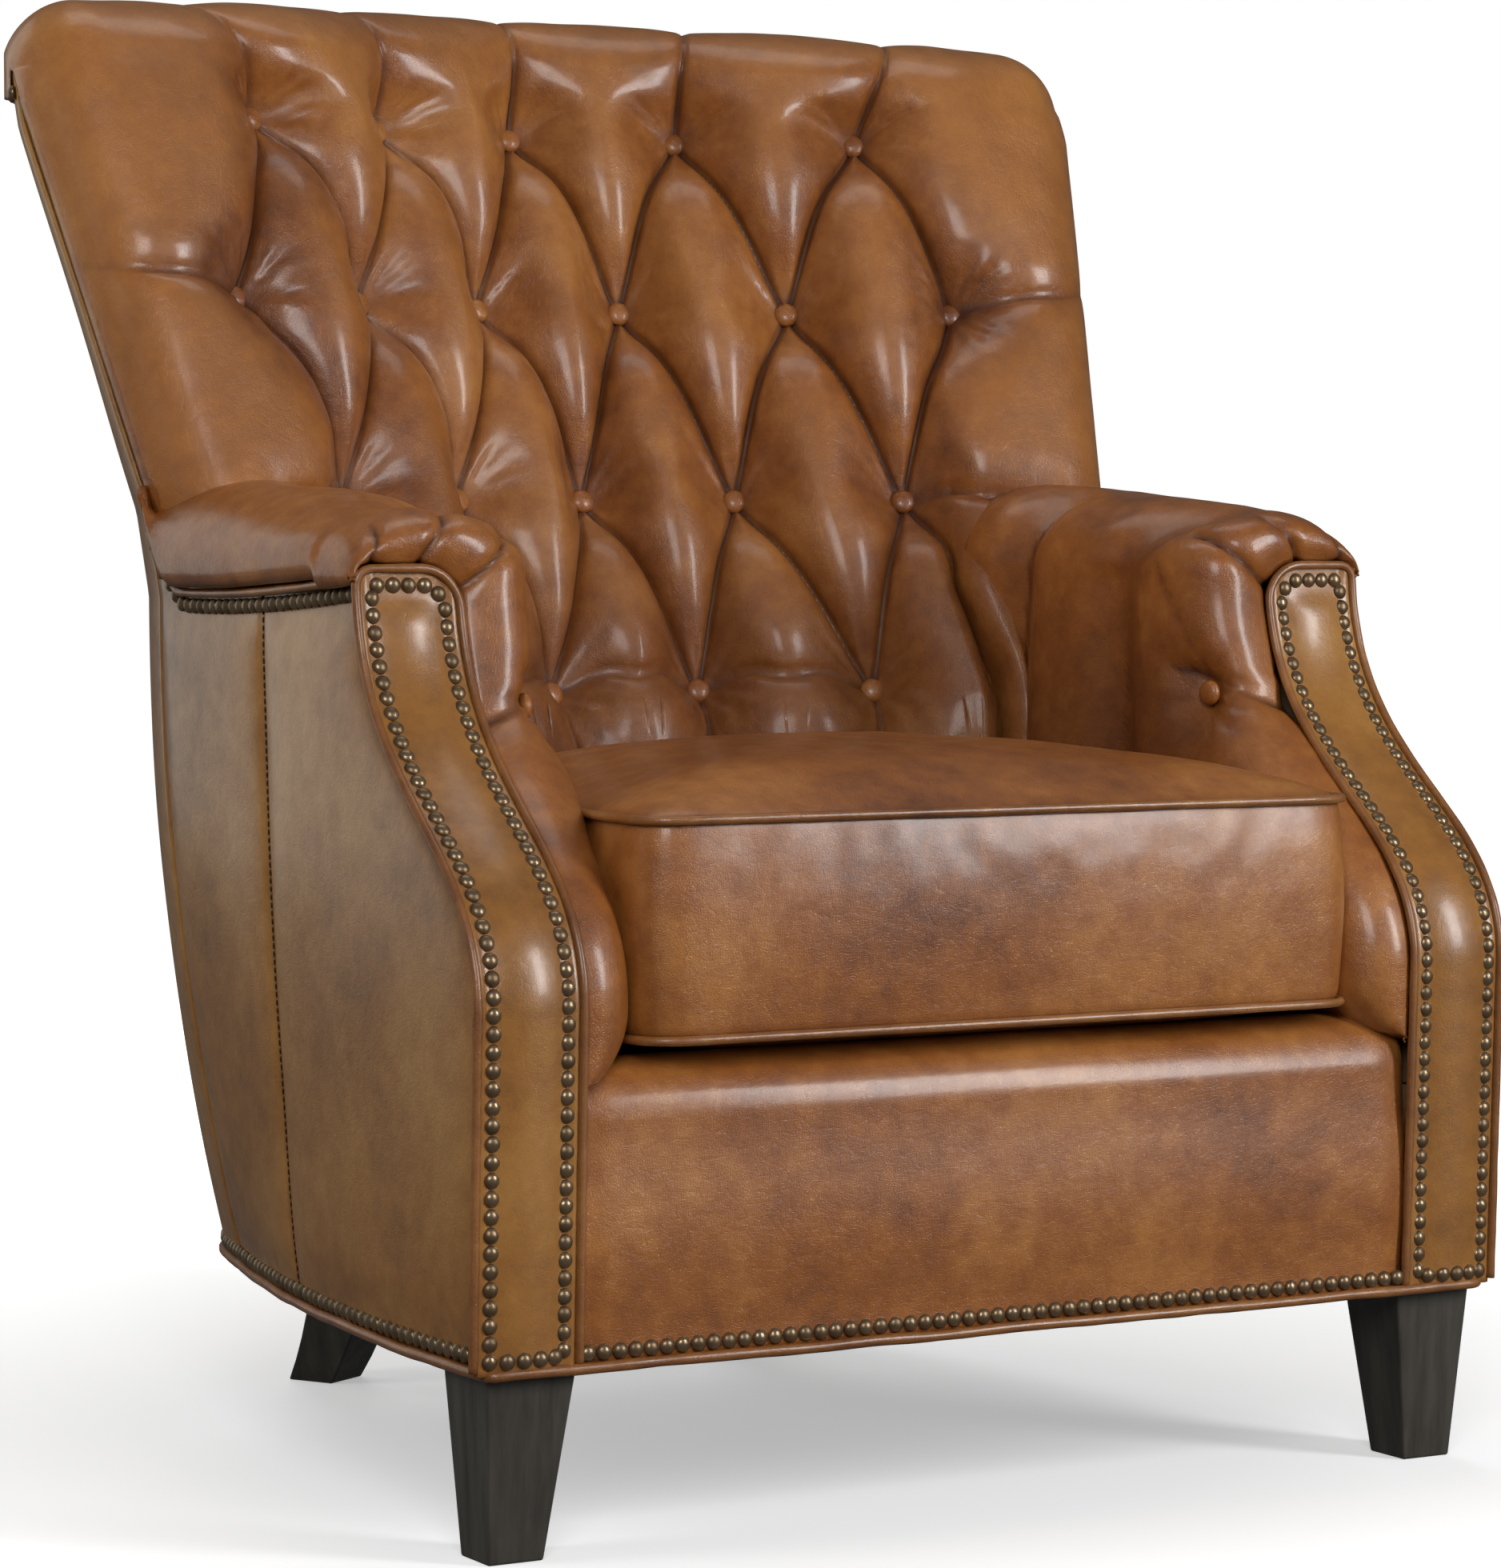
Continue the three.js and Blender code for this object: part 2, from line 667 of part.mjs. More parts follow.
// Rolled pad on the inside and top of the arm, in a section across the chair.
function armPad() {
  const post = 335;
  const faceLevels = [ARM_PAD_BOTTOM, 370, 430, 490, 550, 596];
  const crest = (ARM_INNER_X + ARM_OUTER_X) / 2;
  const half = (ARM_OUTER_X - ARM_INNER_X) / 2;
  const arcSteps = 8;
  const outerSide = faceLevels.map((z) => [ARM_INNER_X, z]);
  const innerSide = faceLevels.map((z) => [post, z]);
  for (let k = 1; k <= arcSteps; k += 1) {
    const angle = (Math.PI * k) / arcSteps;
    const rise = (ARM_TOP_Z - ARM_SPRING_Z) * Math.sin(angle);
    outerSide.push([crest - half * Math.cos(angle), ARM_SPRING_Z + rise]);
    innerSide.push([THREE.MathUtils.lerp(post, ARM_OUTER_X - 3, k / arcSteps), ARM_UNDER_Z]);
  }
  const section = [...outerSide, ...innerSide.reverse()];
  const rearY = (z) => buttonLineY(BARREL_REACH, z) - PAD_FRONT - 4;
  const rings = [];
  for (let i = 0; i <= 3; i += 1) {
    rings.push(section.map(([x, z]) => {
      const front = armFrontY(z) + PANEL_THICKNESS + 8;
      return new THREE.Vector3(x, THREE.MathUtils.lerp(front, rearY(z), i / 3), z);
    }));
  }
  return loft(rings);
}

// ---------------------------------------------------------------- arm fronts

// Outline of an arm front as (x, z), from the lower outer corner round to the lower inner one.
function armFrontOutline(inset, bottom) {
  const outer = PANEL_OUTER_X - inset;
  const inner = PANEL_INNER_X + inset;
  const top = PANEL_TOP_Z - inset;
  const corner = Math.max(8, PANEL_CORNER - inset);
  const outline = [];
  const levels = [bottom, ...ARM_LEVELS.slice(1, -1), top - corner];
  levels.forEach((z) => outline.push([outer, z]));
  outline.push([outer, top - 5], [outer - 5, top]);
  for (let k = 0; k <= 4; k += 1) {
    const angle = (Math.PI / 2) * (k / 4);
    outline.push([inner + corner * (1 - Math.sin(angle)), top - corner * (1 - Math.cos(angle))]);
  }
  levels.toReversed().slice(1).forEach((z) => outline.push([inner, z]));
  return outline;
}

function armPanel() {
  const ring = (z, innerX, outerX) => {
    const y = armFrontY(z);
    return [
      new THREE.Vector3(innerX, y, z),
      new THREE.Vector3(outerX, y, z),
      new THREE.Vector3(outerX, y + PANEL_THICKNESS, z),
      new THREE.Vector3(innerX, y + PANEL_THICKNESS, z),
    ];
  };
  const rings = ARM_LEVELS.map((z) => ring(z, PANEL_INNER_X, PANEL_OUTER_X));
  for (let k = 1; k <= 4; k += 1) {
    const angle = (Math.PI / 2) * (k / 4);
    const z = PANEL_TOP_Z - PANEL_CORNER * (1 - Math.sin(angle));
    const outerX = PANEL_OUTER_X - (k === 4 ? 5 : 0);
    rings.push(ring(z, PANEL_INNER_X + PANEL_CORNER * (1 - Math.cos(angle)), outerX));
  }
  return loft(rings);
}

// A band of square section laid along points (x, z) on the face of the arm front.
function armBand(outline, halfWidth, rise, looped) {
  const faceAt = ([x, z], depth) => new THREE.Vector3(x, armFrontY(z) - depth, z);
  const rings = outline.map((point, index) => {
    const before = outline[looped ? (index + outline.length - 1) % outline.length : Math.max(0, index - 1)];
    const after = outline[looped ? (index + 1) % outline.length : Math.min(outline.length - 1, index + 1)];
    const along = new THREE.Vector2(after[0] - before[0], after[1] - before[1]).normalize();
    const across = [-along.y * halfWidth, along.x * halfWidth];
    const left = [point[0] - across[0], point[1] - across[1]];
    const right = [point[0] + across[0], point[1] + across[1]];
    return [
      faceAt(left, GAP),
      faceAt(left, rise),
      faceAt(right, rise),
      faceAt(right, GAP),
    ];
  });
  return loft(rings, looped);
}

function armNails() {
  return armBand(armFrontOutline(NAIL_INSET, NAIL_ROW_Z), NAIL_HALF, NAIL_RISE + GAP, true);
}

function armWelt() {
  const points = armFrontOutline(-WELT_RADIUS - 3 * GAP, HEM_Z).map(([x, z]) => (
    new THREE.Vector3(x, armFrontY(z) + WELT_RADIUS, z)
  ));
  return rod(points, WELT_RADIUS, 6, new THREE.Vector3(0, 1, 0));
}

// ---------------------------------------------------------------- base trim

// Half outline of the base at height z, from the arm front to the middle of the back.
function baseOutline(z, inset) {
  return [...sideLine(z, inset), ...rearLine(z, inset)];
}

function aroundBase(z, inset) {
  const half = baseOutline(z, inset);
  const other = half.slice(0, -1).reverse().map((p) => new THREE.Vector2(-p.x, p.y));
  return [...half, ...other];
}

// A band standing `rise` proud of the line that `lineAt` gives for its lower and upper edges.
function band(lineAt, z, rise, halfHeight) {
  const [low, high] = [z - halfHeight, z + halfHeight];
  const [lowLine, highLine] = [lineAt(low), lineAt(high)];
  const rings = lowLine.map((point, index) => {
    const before = lowLine[Math.max(0, index - 1)];
    const after = lowLine[Math.min(lowLine.length - 1, index + 1)];
    const along = new THREE.Vector2().subVectors(after, before).normalize();
    const [outX, outY] = [along.y * rise, -along.x * rise];
    const upper = highLine[index];
    return [
      new THREE.Vector3(point.x, point.y, low),
      new THREE.Vector3(point.x + outX, point.y + outY, low),
      new THREE.Vector3(upper.x + outX, upper.y + outY, high),
      new THREE.Vector3(upper.x, upper.y, high),
    ];
  });
  return loft(rings);
}

function baseWelt() {
  const z = HEM_Z - WELT_RADIUS - GAP;
  const outset = 5;
  const frontY = FRONT_Y - 4;
  const half = [
    [PANEL_INNER_X - 24, frontY],
    [PANEL_INNER_X, armFrontY(z) - 3],
    [PANEL_OUTER_X - 12, armFrontY(z) - 3],
    [PANEL_OUTER_X + 2, armFrontY(z) + 4],
    ...baseOutline(z, -outset).slice(1).map((p) => [p.x, p.y]),
  ];
  const otherHalf = half.slice(0, -1).reverse().map(([x, y]) => [-x, y]);
  const points = [...half, ...otherHalf].map(([x, y]) => new THREE.Vector3(x, y, z));
  return rod(points, WELT_RADIUS, 6, new THREE.Vector3(0, 0, 1), true);
}

function addTrim() {
  addPair('arm_panel', armPanel(), 'panel');
  addPair('arm_panel_welt', armWelt(), 'welt');
  addPair('arm_front_nails', armNails(), 'brass');
  const frontRun = () => [-312, 312].map((x) => new THREE.Vector2(x, FRONT_Y - GAP));
  addPiece('front_base_nails', band(frontRun, NAIL_ROW_Z, NAIL_RISE, NAIL_HALF), 'brass');
  const baseRun = (z) => aroundBase(z, -2 * GAP).slice(1, -1);
  addPiece('rear_base_nails', band(baseRun, NAIL_ROW_Z, NAIL_RISE, NAIL_HALF), 'brass');
  const sideRun = (z) => sideLine(z, -2 * GAP).slice(1, -1);
  addPair('arm_side_nails', band(sideRun, ARM_UNDER_Z - TOP_NAIL_DROP, NAIL_RISE, NAIL_HALF), 'brass');
  addPiece('base_welt', baseWelt(), 'welt');
}

// ---------------------------------------------------------------- loose seat cushion

function cushionOutline(inset) {
  const half = CUSHION_HALF - inset;
  const front = CUSHION_FRONT + inset;
  const corner = 46 - Math.min(inset, 30);
  const points = [];
  for (let k = 0; k <= 5; k += 1) {
    const angle = (Math.PI / 2) * (k / 5);
    points.push([half - corner * (1 - Math.sin(angle)), front + corner * (1 - Math.cos(angle))]);
  }
  for (let i = 0; i <= 5; i += 1) {
    const x = (half - 6) * (1 - i / 5);
    const sweep = buttonLineY(x, BUTTON_LINE_Z) - BUTTON_LINE_Y;
    points.push([x, CUSHION_REAR - inset + sweep]);
  }
  const other = points.slice(0, -1).reverse().map(([x, y]) => [-x, y]);
  return [...points, ...other];
}

function cushionSolid(inset) {
  const levels = [
    [CUSHION_BOTTOM + inset, inset + 8],
    [CUSHION_BOTTOM + inset + 8, inset],
    [CUSHION_EDGE - inset - 8, inset],
    [CUSHION_EDGE - inset, inset + 8],
    [CUSHION_CROWN - inset - 8, inset + 60],
    [CUSHION_CROWN - inset, inset + 110],
  ];
  const ring = (z, shrink) => cushionOutline(shrink).map(([x, y]) => new THREE.Vector3(x, y, z));
  return loft(levels.map(([z, shrink]) => ring(z, shrink)));
}

function addCushion() {
  const slotHalf = 90;
  const slot = (spare) => boxBetween(
    new THREE.Vector3(-slotHalf - spare, CUSHION_REAR - 60, 378 - spare),
    new THREE.Vector3(slotHalf + spare, CUSHION_REAR + 10, 394 + spare),
  );
  const outer = cushionSolid(0);
  const hollow = cushionSolid(COVER_THICKNESS);
  const zipper = toManifold(outer).intersect(toManifold(slot(0))).subtract(toManifold(hollow));
  addPiece('cushion_cover', subtract(outer, hollow, slot(GAP)), 'leather');
  addPiece('cushion_zipper', toGeometry(zipper), 'cloth');
  addPiece('cushion_core', cushionSolid(COVER_THICKNESS + GAP), 'foam');
}

// ---------------------------------------------------------------- assembly

addLegs();
addFrame();
addSuspension();
addPiece('inside_back', insideBack(), 'leather');
BUTTON_ROWS.forEach((row, index) => addPiece(`button_row_${index + 1}`, buttonRow(row), 'leather'));
addPiece('back_webbing', backWebbing(), 'webbing');
addPiece('outside_back', outsideBack(), 'panel');
addPair('outside_arm', outsideArm(), 'panel');
addPair('arm_pad', armPad(), 'leather');
addPiece('front_rail_cover', frontRailCover(), 'leather');
addTrim();
addCushion();

// The origin is under the middle of the chair.
const extent = new THREE.Box3().setFromObject(chair);
chair.position.y = -(extent.min.y + extent.max.y) / 2;

export default chair;
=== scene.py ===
"""Looks of the tufted armchair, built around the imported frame.

Shapes are worked out in millimetres in the drawing's own axes (+X the sitter's left, -Y the
front, +Z up) and put into the frame, in metres, by new_object().
"""

import json
import math
import random

import bmesh
import bpy
import numpy as np
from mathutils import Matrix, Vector, noise
from mathutils.bvhtree import BVHTree


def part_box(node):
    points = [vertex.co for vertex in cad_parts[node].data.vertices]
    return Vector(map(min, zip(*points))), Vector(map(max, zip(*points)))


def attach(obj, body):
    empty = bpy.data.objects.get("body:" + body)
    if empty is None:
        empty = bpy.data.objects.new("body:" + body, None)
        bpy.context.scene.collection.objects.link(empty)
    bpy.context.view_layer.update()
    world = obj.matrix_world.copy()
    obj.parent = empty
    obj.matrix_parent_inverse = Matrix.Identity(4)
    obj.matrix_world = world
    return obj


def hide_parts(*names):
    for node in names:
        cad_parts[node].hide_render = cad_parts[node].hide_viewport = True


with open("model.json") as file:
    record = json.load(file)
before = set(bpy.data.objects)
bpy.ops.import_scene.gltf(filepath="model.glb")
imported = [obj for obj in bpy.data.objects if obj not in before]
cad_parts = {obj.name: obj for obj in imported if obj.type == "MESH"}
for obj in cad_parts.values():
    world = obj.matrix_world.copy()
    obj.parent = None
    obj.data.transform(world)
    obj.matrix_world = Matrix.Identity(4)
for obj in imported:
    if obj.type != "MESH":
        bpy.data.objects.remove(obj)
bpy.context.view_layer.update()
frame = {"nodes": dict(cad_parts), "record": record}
random.seed(11)

MM = 0.001
EVEN = (-4, -2, 0, 2, 4)

# ------------------------------------------------------------------ driving dimensions, mm

HEM_Z = 122
FRONT_Y = -393
PANEL_INNER_X = 323
PANEL_OUTER_X = 394
PANEL_TOP_Z = 620
PANEL_CORNER = 26
ARM_INNER_X = 258
ARM_OUTER_X = 403
ARM_UNDER_Z = 608
ARM_TOP_Z = 664
ARM_SPRING_Z = 618
ARM_BOTTOM_Z = 297
SIDE_REAR_Y = 111
SIDE_FRONT_X = 383
SIDE_LEAN = 5
SIDE_TAPER_Y = -330
SEAM_FOOT_X = 325
SEAM_SWELL = 61
FLARE_START_Z = 600
FLARE_END_Z = 935
FLARE = 0.16
ROLL_Z = 1000
COVER_TOP_Z = 980
TOP_ROW_Z = 960
PAD_BOTTOM = 308
RECLINE = 0.43
LEAN_START_Z = 500
BUTTON_LINE_Y = 150
BUTTON_LINE_Z = 524
BARREL_DEPTH = 110
BARREL_REACH = 360
BUTTON_RADIUS = 9.5
NAIL_RADIUS = 5.5
NAIL_SPACING = 11.4
NAIL_ROW_Z = 132
STITCH_PITCH = 5.5
STITCH_LENGTH = 4.2
STITCH_RADIUS = 0.7
WELT_RADIUS = 3.1
RAIL_SPRING_Z = 276
RAIL_RADIUS = 37
RAIL_REAR_Y = -300
RAIL_FALL = 16
RAIL_PUFF = 4
CUSHION_HALF = 256
CUSHION_FRONT = -401
CUSHION_REAR = 85
CUSHION_BOTTOM = 305
CUSHION_LOW_SEAM = 325
CUSHION_TOP_SEAM = 464
CUSHION_CROWN = 497
CUSHION_CORNER = 30
CUSHION_FLARE = 0.075
ZIP_HALF = 90
ZIP_Z = 386
ZIP_TAPE = 15
DECK_HALF = 256
DECK_FRONT = -298
DECK_REAR = 120
DECK_BOTTOM = 276
DECK_TOP = 304
DECK_SEAM_INSET = 34
DUST_Z = 147.8
DUST_SAG = 5
DUST_OUTLINE = [(236, -368), (236, -346), (334, -264), (332, -180),
                (262, 130), (200, 146), (100, 200), (100, 228)]
LEG_EASE = 1.8
LEG_EDGE_LENGTH = 8
LEG_EDGE_ANGLE = 50

# The drawing is centred in the frame, so its Y axis is shifted by what the rail's face shows.
Y_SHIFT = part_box("front_rail_cover")[0].y / MM - FRONT_Y


# ------------------------------------------------------------------ small mathematics

def lerp(start, end, share):
    return start + (end - start) * share


def smoothstep(value, low, high):
    share = np.clip((value - low) / (high - low), 0, 1)
    return share * share * (3 - 2 * share)


def bezier(points, share):
    """Cubic Bezier through four control points, at each share."""
    share = np.asarray(share, float)[..., None]
    a, b, c, d = (np.asarray(p, float) for p in points)
    rest = 1 - share
    return rest**3 * a + 3 * rest**2 * share * b + 3 * rest * share**2 * c + share**3 * d


def segment_distance(px, py, ax, ay, bx, by):
    """Distance of each point to the segment a-b."""
    dx, dy = bx - ax, by - ay
    along = np.clip(((px - ax) * dx + (py - ay) * dy) / (dx * dx + dy * dy), 0, 1)
    return np.hypot(px - ax - along * dx, py - ay - along * dy)


def round_rise(distance, radius):
    """0 in a crease, 1 one radius away, steep at the crease as a stuffed edge is."""
    return np.sqrt(1 - (1 - np.clip(distance / radius, 0, 1)) ** 2)


def noise_field(points, size, seed):
    """Smooth noise of about -1 to 1 at each point, with features of the given size in mm."""
    flat = points.reshape(-1, 3) / size + seed * 17.3
    values = [noise.noise(Vector(p)) for p in flat]
    return np.array(values).reshape(points.shape[:-1])


def points_at(*coordinates):
    """Points from their coordinates; a single number serves for all of them."""
    return np.stack(np.broadcast_arrays(*coordinates), axis=-1)


def lines_gap(across, along, lines):
    """Distance of each point to the nearest of some lines (across, along, across, along)."""
    return np.min([segment_distance(across, along, *line) for line in lines], axis=0)


def resample(path, spacing, closed=False):
    """Points along a polyline, evenly spaced at close to the given spacing."""
    path = np.asarray(path, float)
    if closed:
        path = np.vstack([path, path[:1]])
    lengths = np.linalg.norm(np.diff(path, axis=0), axis=1)
    run = np.concatenate([[0], np.cumsum(lengths)])
    count = max(2, int(round(run[-1] / spacing)))
    wanted = np.linspace(0, run[-1], count + 1)
    if closed:
        wanted = wanted[:-1]
    return np.stack([np.interp(wanted, run, path[:, k]) for k in range(3)], axis=1)


# ------------------------------------------------------------------ curves that shape the chair

SWEEP = bezier([(-401, 350), (-401, 458), (-238, 470), (-228, 610)], np.linspace(0, 1, 200))


def arm_front_y(z):
    """Front of the arm: upright below, swept back beside the cushion, upright above."""
    z = np.asarray(z, float)
    toe = 8 * np.clip((350 - z) / (350 - HEM_Z), 0, 1)
    return np.interp(z, SWEEP[:, 1], SWEEP[:, 0]) + toe


def seam_x(z):
    """Half width at the rear seam: swelling up to the arm, then flaring out to the wing."""
    z = np.asarray(z, float)
    rise = np.clip((z - HEM_Z) / (FLARE_START_Z - HEM_Z), 0, 1)
    flare = FLARE * np.clip(z - FLARE_START_Z, 0, FLARE_END_Z - FLARE_START_Z)
    return SEAM_FOOT_X + SEAM_SWELL * (1 - (1 - rise) ** 2) + flare


def seam_y(z):
    """The rear seam stands upright beside the arm and reclines with the back above it."""
    return SIDE_REAR_Y + 2 + RECLINE * np.maximum(0, z - 660)


def outside_arm_x(y, z):
    """The outside of an arm: nearly upright, and drawn in towards the rear seam."""
    front_x = SIDE_FRONT_X + SIDE_LEAN * (z - HEM_Z) / (FLARE_START_Z - HEM_Z)
    taper = (front_x - seam_x(z)) / (SIDE_REAR_Y - SIDE_TAPER_Y) ** 2
    return front_x - taper * np.maximum(0, y - SIDE_TAPER_Y) ** 2


def outside_back_curve(z, share):
    """Points (x, y) of the outside back at height z, from the seam round to the middle."""
    height = (z - HEM_Z) / (ROLL_Z - HEM_Z)
    seam = (float(seam_x(z)), float(seam_y(z)))
    rear = 295 + 120 * height
    reach = lerp(165, 83, height)
    lean = lerp(-0.2, -0.12, min(1, height * 1.5))
    control = [seam, (seam[0] + lean * reach, seam[1] + reach), (235, rear), (0, rear)]
    return bezier(control, share)


def button_line_y(x, z):
    """The surface that the buttons are tied to: a barrel that reclines above the seat."""
    across = np.minimum(np.abs(x), BARREL_REACH) / BARREL_REACH
    sweep = BARREL_DEPTH * np.sin(np.pi / 2 * across) ** 2
    return BUTTON_LINE_Y + RECLINE * (np.maximum(z, LEAN_START_Z) - BUTTON_LINE_Z) - sweep


# ------------------------------------------------------------------ meshes

def new_object(name, points, faces, material, smooth=True):
    """A mesh object from points in mm in the drawing's axes."""
    placed = (np.asarray(points, float).reshape(-1, 3) + (0, Y_SHIFT, 0)) * MM
    mesh = bpy.data.meshes.new(name)
    mesh.from_pydata(placed.tolist(), [], [tuple(face) for face in faces])
    mesh.polygons.foreach_set("use_smooth", [smooth] * len(mesh.polygons))
    mesh.materials.append(material)
    mesh.update()
    made = bpy.data.objects.new(name, mesh)
    bpy.context.scene.collection.objects.link(made)
    return made


def paint(made, painted_shade, wear_and_highlight=None):
    """Stores how much painted shade each vertex gets, and how much paler it is from wear and painted
    highlight; the leather shows both.
    """
    for name, amount in (("painted_shade", painted_shade), ("wear_and_highlight", wear_and_highlight)):
        if amount is None:
            continue
        layer = made.data.attributes.new(name, "FLOAT", "POINT")
        values = np.zeros(len(made.data.vertices), np.float32)
        given = np.asarray(amount, np.float32).ravel()
        values[:len(given)] = given
        layer.data.foreach_set("value", values)


def finish_piece(made, slot, *nodes, body="chair", fill=None):
    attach(made, body)
    if nodes:
        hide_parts(*nodes)
    return made


def quads(rows, cols, start=0, closed_rows=False, closed_cols=False):
    i = np.arange(rows if closed_rows else rows - 1)
    j = np.arange(cols if closed_cols else cols - 1)
    row, col = (grid.ravel() for grid in np.meshgrid(i, j, indexing="ij"))
    next_row = (row + 1) % rows
    next_col = (col + 1) % cols
    corners = ((row, col), (row, next_col), (next_row, next_col), (next_row, col))
    return np.stack([i * cols + j for i, j in corners], axis=1) + start


def rim_loop(rows, cols):
    """Indices round the border of a grid."""
    top = list(range(cols))
    right = [i * cols + cols - 1 for i in range(1, rows)]
    bottom = [(rows - 1) * cols + j for j in range(cols - 2, -1, -1)]
    left = [i * cols for i in range(rows - 2, 0, -1)]
    return top + right + bottom + left


def slab(name, front, back, material, flip=False, front_faces=None):
    """A closed solid between two grids of points with the same rows and columns."""
    rows, cols = front.shape[:2]
    count = rows * cols
    faces = list(quads(rows, cols) if front_faces is None else front_faces)
    faces += [face[::-1] for face in quads(rows, cols, count)]
    loop = rim_loop(rows, cols)
    for a, b in zip(loop, loop[1:] + loop[:1]):
        faces.append((b, a, a + count, b + count))
    if flip:
        faces = [face[::-1] for face in faces]
    points = np.concatenate([front.reshape(-1, 3), back.reshape(-1, 3)])
    return new_object(name, points, faces, material)


def grid_normals(grid):
    """Unit normals of a grid of points, from its rows and columns."""
    across = np.gradient(grid, axis=1)
    down = np.gradient(grid, axis=0)
    normal = np.cross(across, down)
    return normal / np.maximum(np.linalg.norm(normal, axis=-1, keepdims=True), 1e-9)


def tube(name, path, radius, material, closed=False, sides=10, wave=0.0):
    """A round rod through points that lie a few millimetres apart."""
    path = np.asarray(path, float)
    if closed:
        along = np.roll(path, -1, axis=0) - np.roll(path, 1, axis=0)
    else:
        along = np.gradient(path, axis=0)
    along /= np.linalg.norm(along, axis=1, keepdims=True)
    frame_up = np.zeros_like(path)
    up = np.array([0.0, 0.0, 1.0]) if abs(along[0][2]) < 0.8 else np.array([0.0, 1.0, 0.0])
    for i, direction in enumerate(along):
        up = up - direction * np.dot(up, direction)
        up /= np.linalg.norm(up)
        frame_up[i] = up
    if closed:
        twist = math.atan2(
            np.dot(np.cross(frame_up[-1], frame_up[0]), along[0]),
            np.dot(frame_up[-1], frame_up[0]))
    else:
        twist = 0.0
    across = np.cross(along, frame_up)
    rings = []
    for i in range(len(path)):
        lay = twist * i / len(path)
        swell = radius * (1 + wave * noise.noise(Vector(path[i] / 23)))
        angles = lay + 2 * np.pi * np.arange(sides) / sides
        rings.append(path[i]
                     + swell * np.cos(angles)[:, None] * frame_up[i]
                     + swell * np.sin(angles)[:, None] * across[i])
    count = len(path)
    faces = list(quads(count, sides, closed_rows=closed, closed_cols=True))
    if not closed:
        faces.append(tuple(range(sides))[::-1])
        faces.append(tuple((count - 1) * sides + k for k in range(sides)))
    return new_object(name, np.concatenate(rings), faces, material)


def domes(name, places, profile, sides, material):
    """Round heads at (point, normal) places; profile is (radius, height) from rim to top."""
    points, faces = [], []
    for point, normal in places:
        normal = np.asarray(normal, float) / np.linalg.norm(normal)
        side = np.cross(normal, (0.31, 0.2, 0.93))
        side /= np.linalg.norm(side)
        other = np.cross(normal, side)
        start = len(points)
        turn = random.uniform(0, 2 * math.pi)
        for radius, height in profile:
            for k in range(sides):
                angle = turn + 2 * math.pi * k / sides
                points.append(point + normal * height
                              + radius * (math.cos(angle) * side + math.sin(angle) * other))
        rings = len(profile)
        faces += [tuple(face) for face in quads(rings, sides, start, closed_cols=True)]
        points.append(point + normal * (profile[-1][1] + 0.02 * profile[-1][0]))
        top = start + (rings - 1) * sides
        faces += [(top + k, top + (k + 1) % sides, len(points) - 1) for k in range(sides)]
        faces.append(tuple(start + k for k in range(sides))[::-1])
    return new_object(name, points, faces, material)


# ------------------------------------------------------------------ materials

# Scales of the leather's patterns, in features per metre or so.
CLOUD_SCALE = 5.5
MOTTLE_SCALE = 48.0
FOLD_SCALE = 62.0
WRINKLE_SCALE = 150.0
SPECK_SCALE = 520.0
PORE_SCALE = 560.0
CLOUD_SHARE = 0.62
SPECK_SHARE = 0.32
WEAR_AND_HIGHLIGHT_SHARE = 0.45
WAX = 0.5
FOLD_BEND = 0.03
LEATHER_BUMP = 0.0012

def node_material(name):
    made = bpy.data.materials.new(name)
    made.use_nodes = True
    tree = made.node_tree
    return made, tree, tree.nodes["Principled BSDF"]


def stored(tree, name):
    """A value that paint() has stored on the vertices."""
    made = tree.nodes.new("ShaderNodeAttribute")
    made.attribute_name = name
    return made.outputs["Fac"]


def ramp(tree, source, stops):
    """Colour ramp with (position, colour) stops, fed by a socket."""
    made = tree.nodes.new("ShaderNodeValToRGB")
    elements = made.color_ramp.elements
    while len(elements) < len(stops):
        elements.new(0.5)
    for element, (position, colour) in zip(elements, stops):
        element.position = position
        element.color = (*colour, 1) if len(colour) == 3 else (colour[0],) * 3 + (1,)
    tree.links.new(source, made.inputs["Fac"])
    return made.outputs["Color"]


def mix_colour(tree, factor, a, b, mode="MIX"):
    made = tree.nodes.new("ShaderNodeMix")
    made.data_type = "RGBA"
    made.blend_type = mode
    for socket, value in ((made.inputs[0], factor), (made.inputs[6], a), (made.inputs[7], b)):
        if isinstance(value, bpy.types.NodeSocket):
            tree.links.new(value, socket)
        else:
            socket.default_value = value
    return made.outputs[2]


def arithmetic(tree, operation, a, b=0.0):
    made = tree.nodes.new("ShaderNodeMath")
    made.operation = operation
    for socket, value in zip(made.inputs, (a, b)):
        if isinstance(value, bpy.types.NodeSocket):
            tree.links.new(value, socket)
        else:
            socket.default_value = value
    return made.outputs[0]


def srgb(red, green, blue):
    """Linear colour from 0-255 display values."""
    def linear(value):
        value /= 255
        return value / 12.92 if value <= 0.04045 else ((value + 0.055) / 1.055) ** 2.4
    return (linear(red), linear(green), linear(blue))


def object_noise(tree, scale, detail=4.0, roughness=0.55, stretch=(1, 1, 1)):
    where = tree.nodes.new("ShaderNodeTexCoord")
    mapping = tree.nodes.new("ShaderNodeMapping")
    mapping.inputs["Scale"].default_value = stretch
    tree.links.new(where.outputs["Object"], mapping.inputs["Vector"])
    made = tree.nodes.new("ShaderNodeTexNoise")
    made.inputs["Scale"].default_value = scale
    made.inputs["Detail"].default_value = detail
    made.inputs["Roughness"].default_value = roughness
    tree.links.new(mapping.outputs["Vector"], made.inputs["Vector"])
    return made.outputs["Fac"]


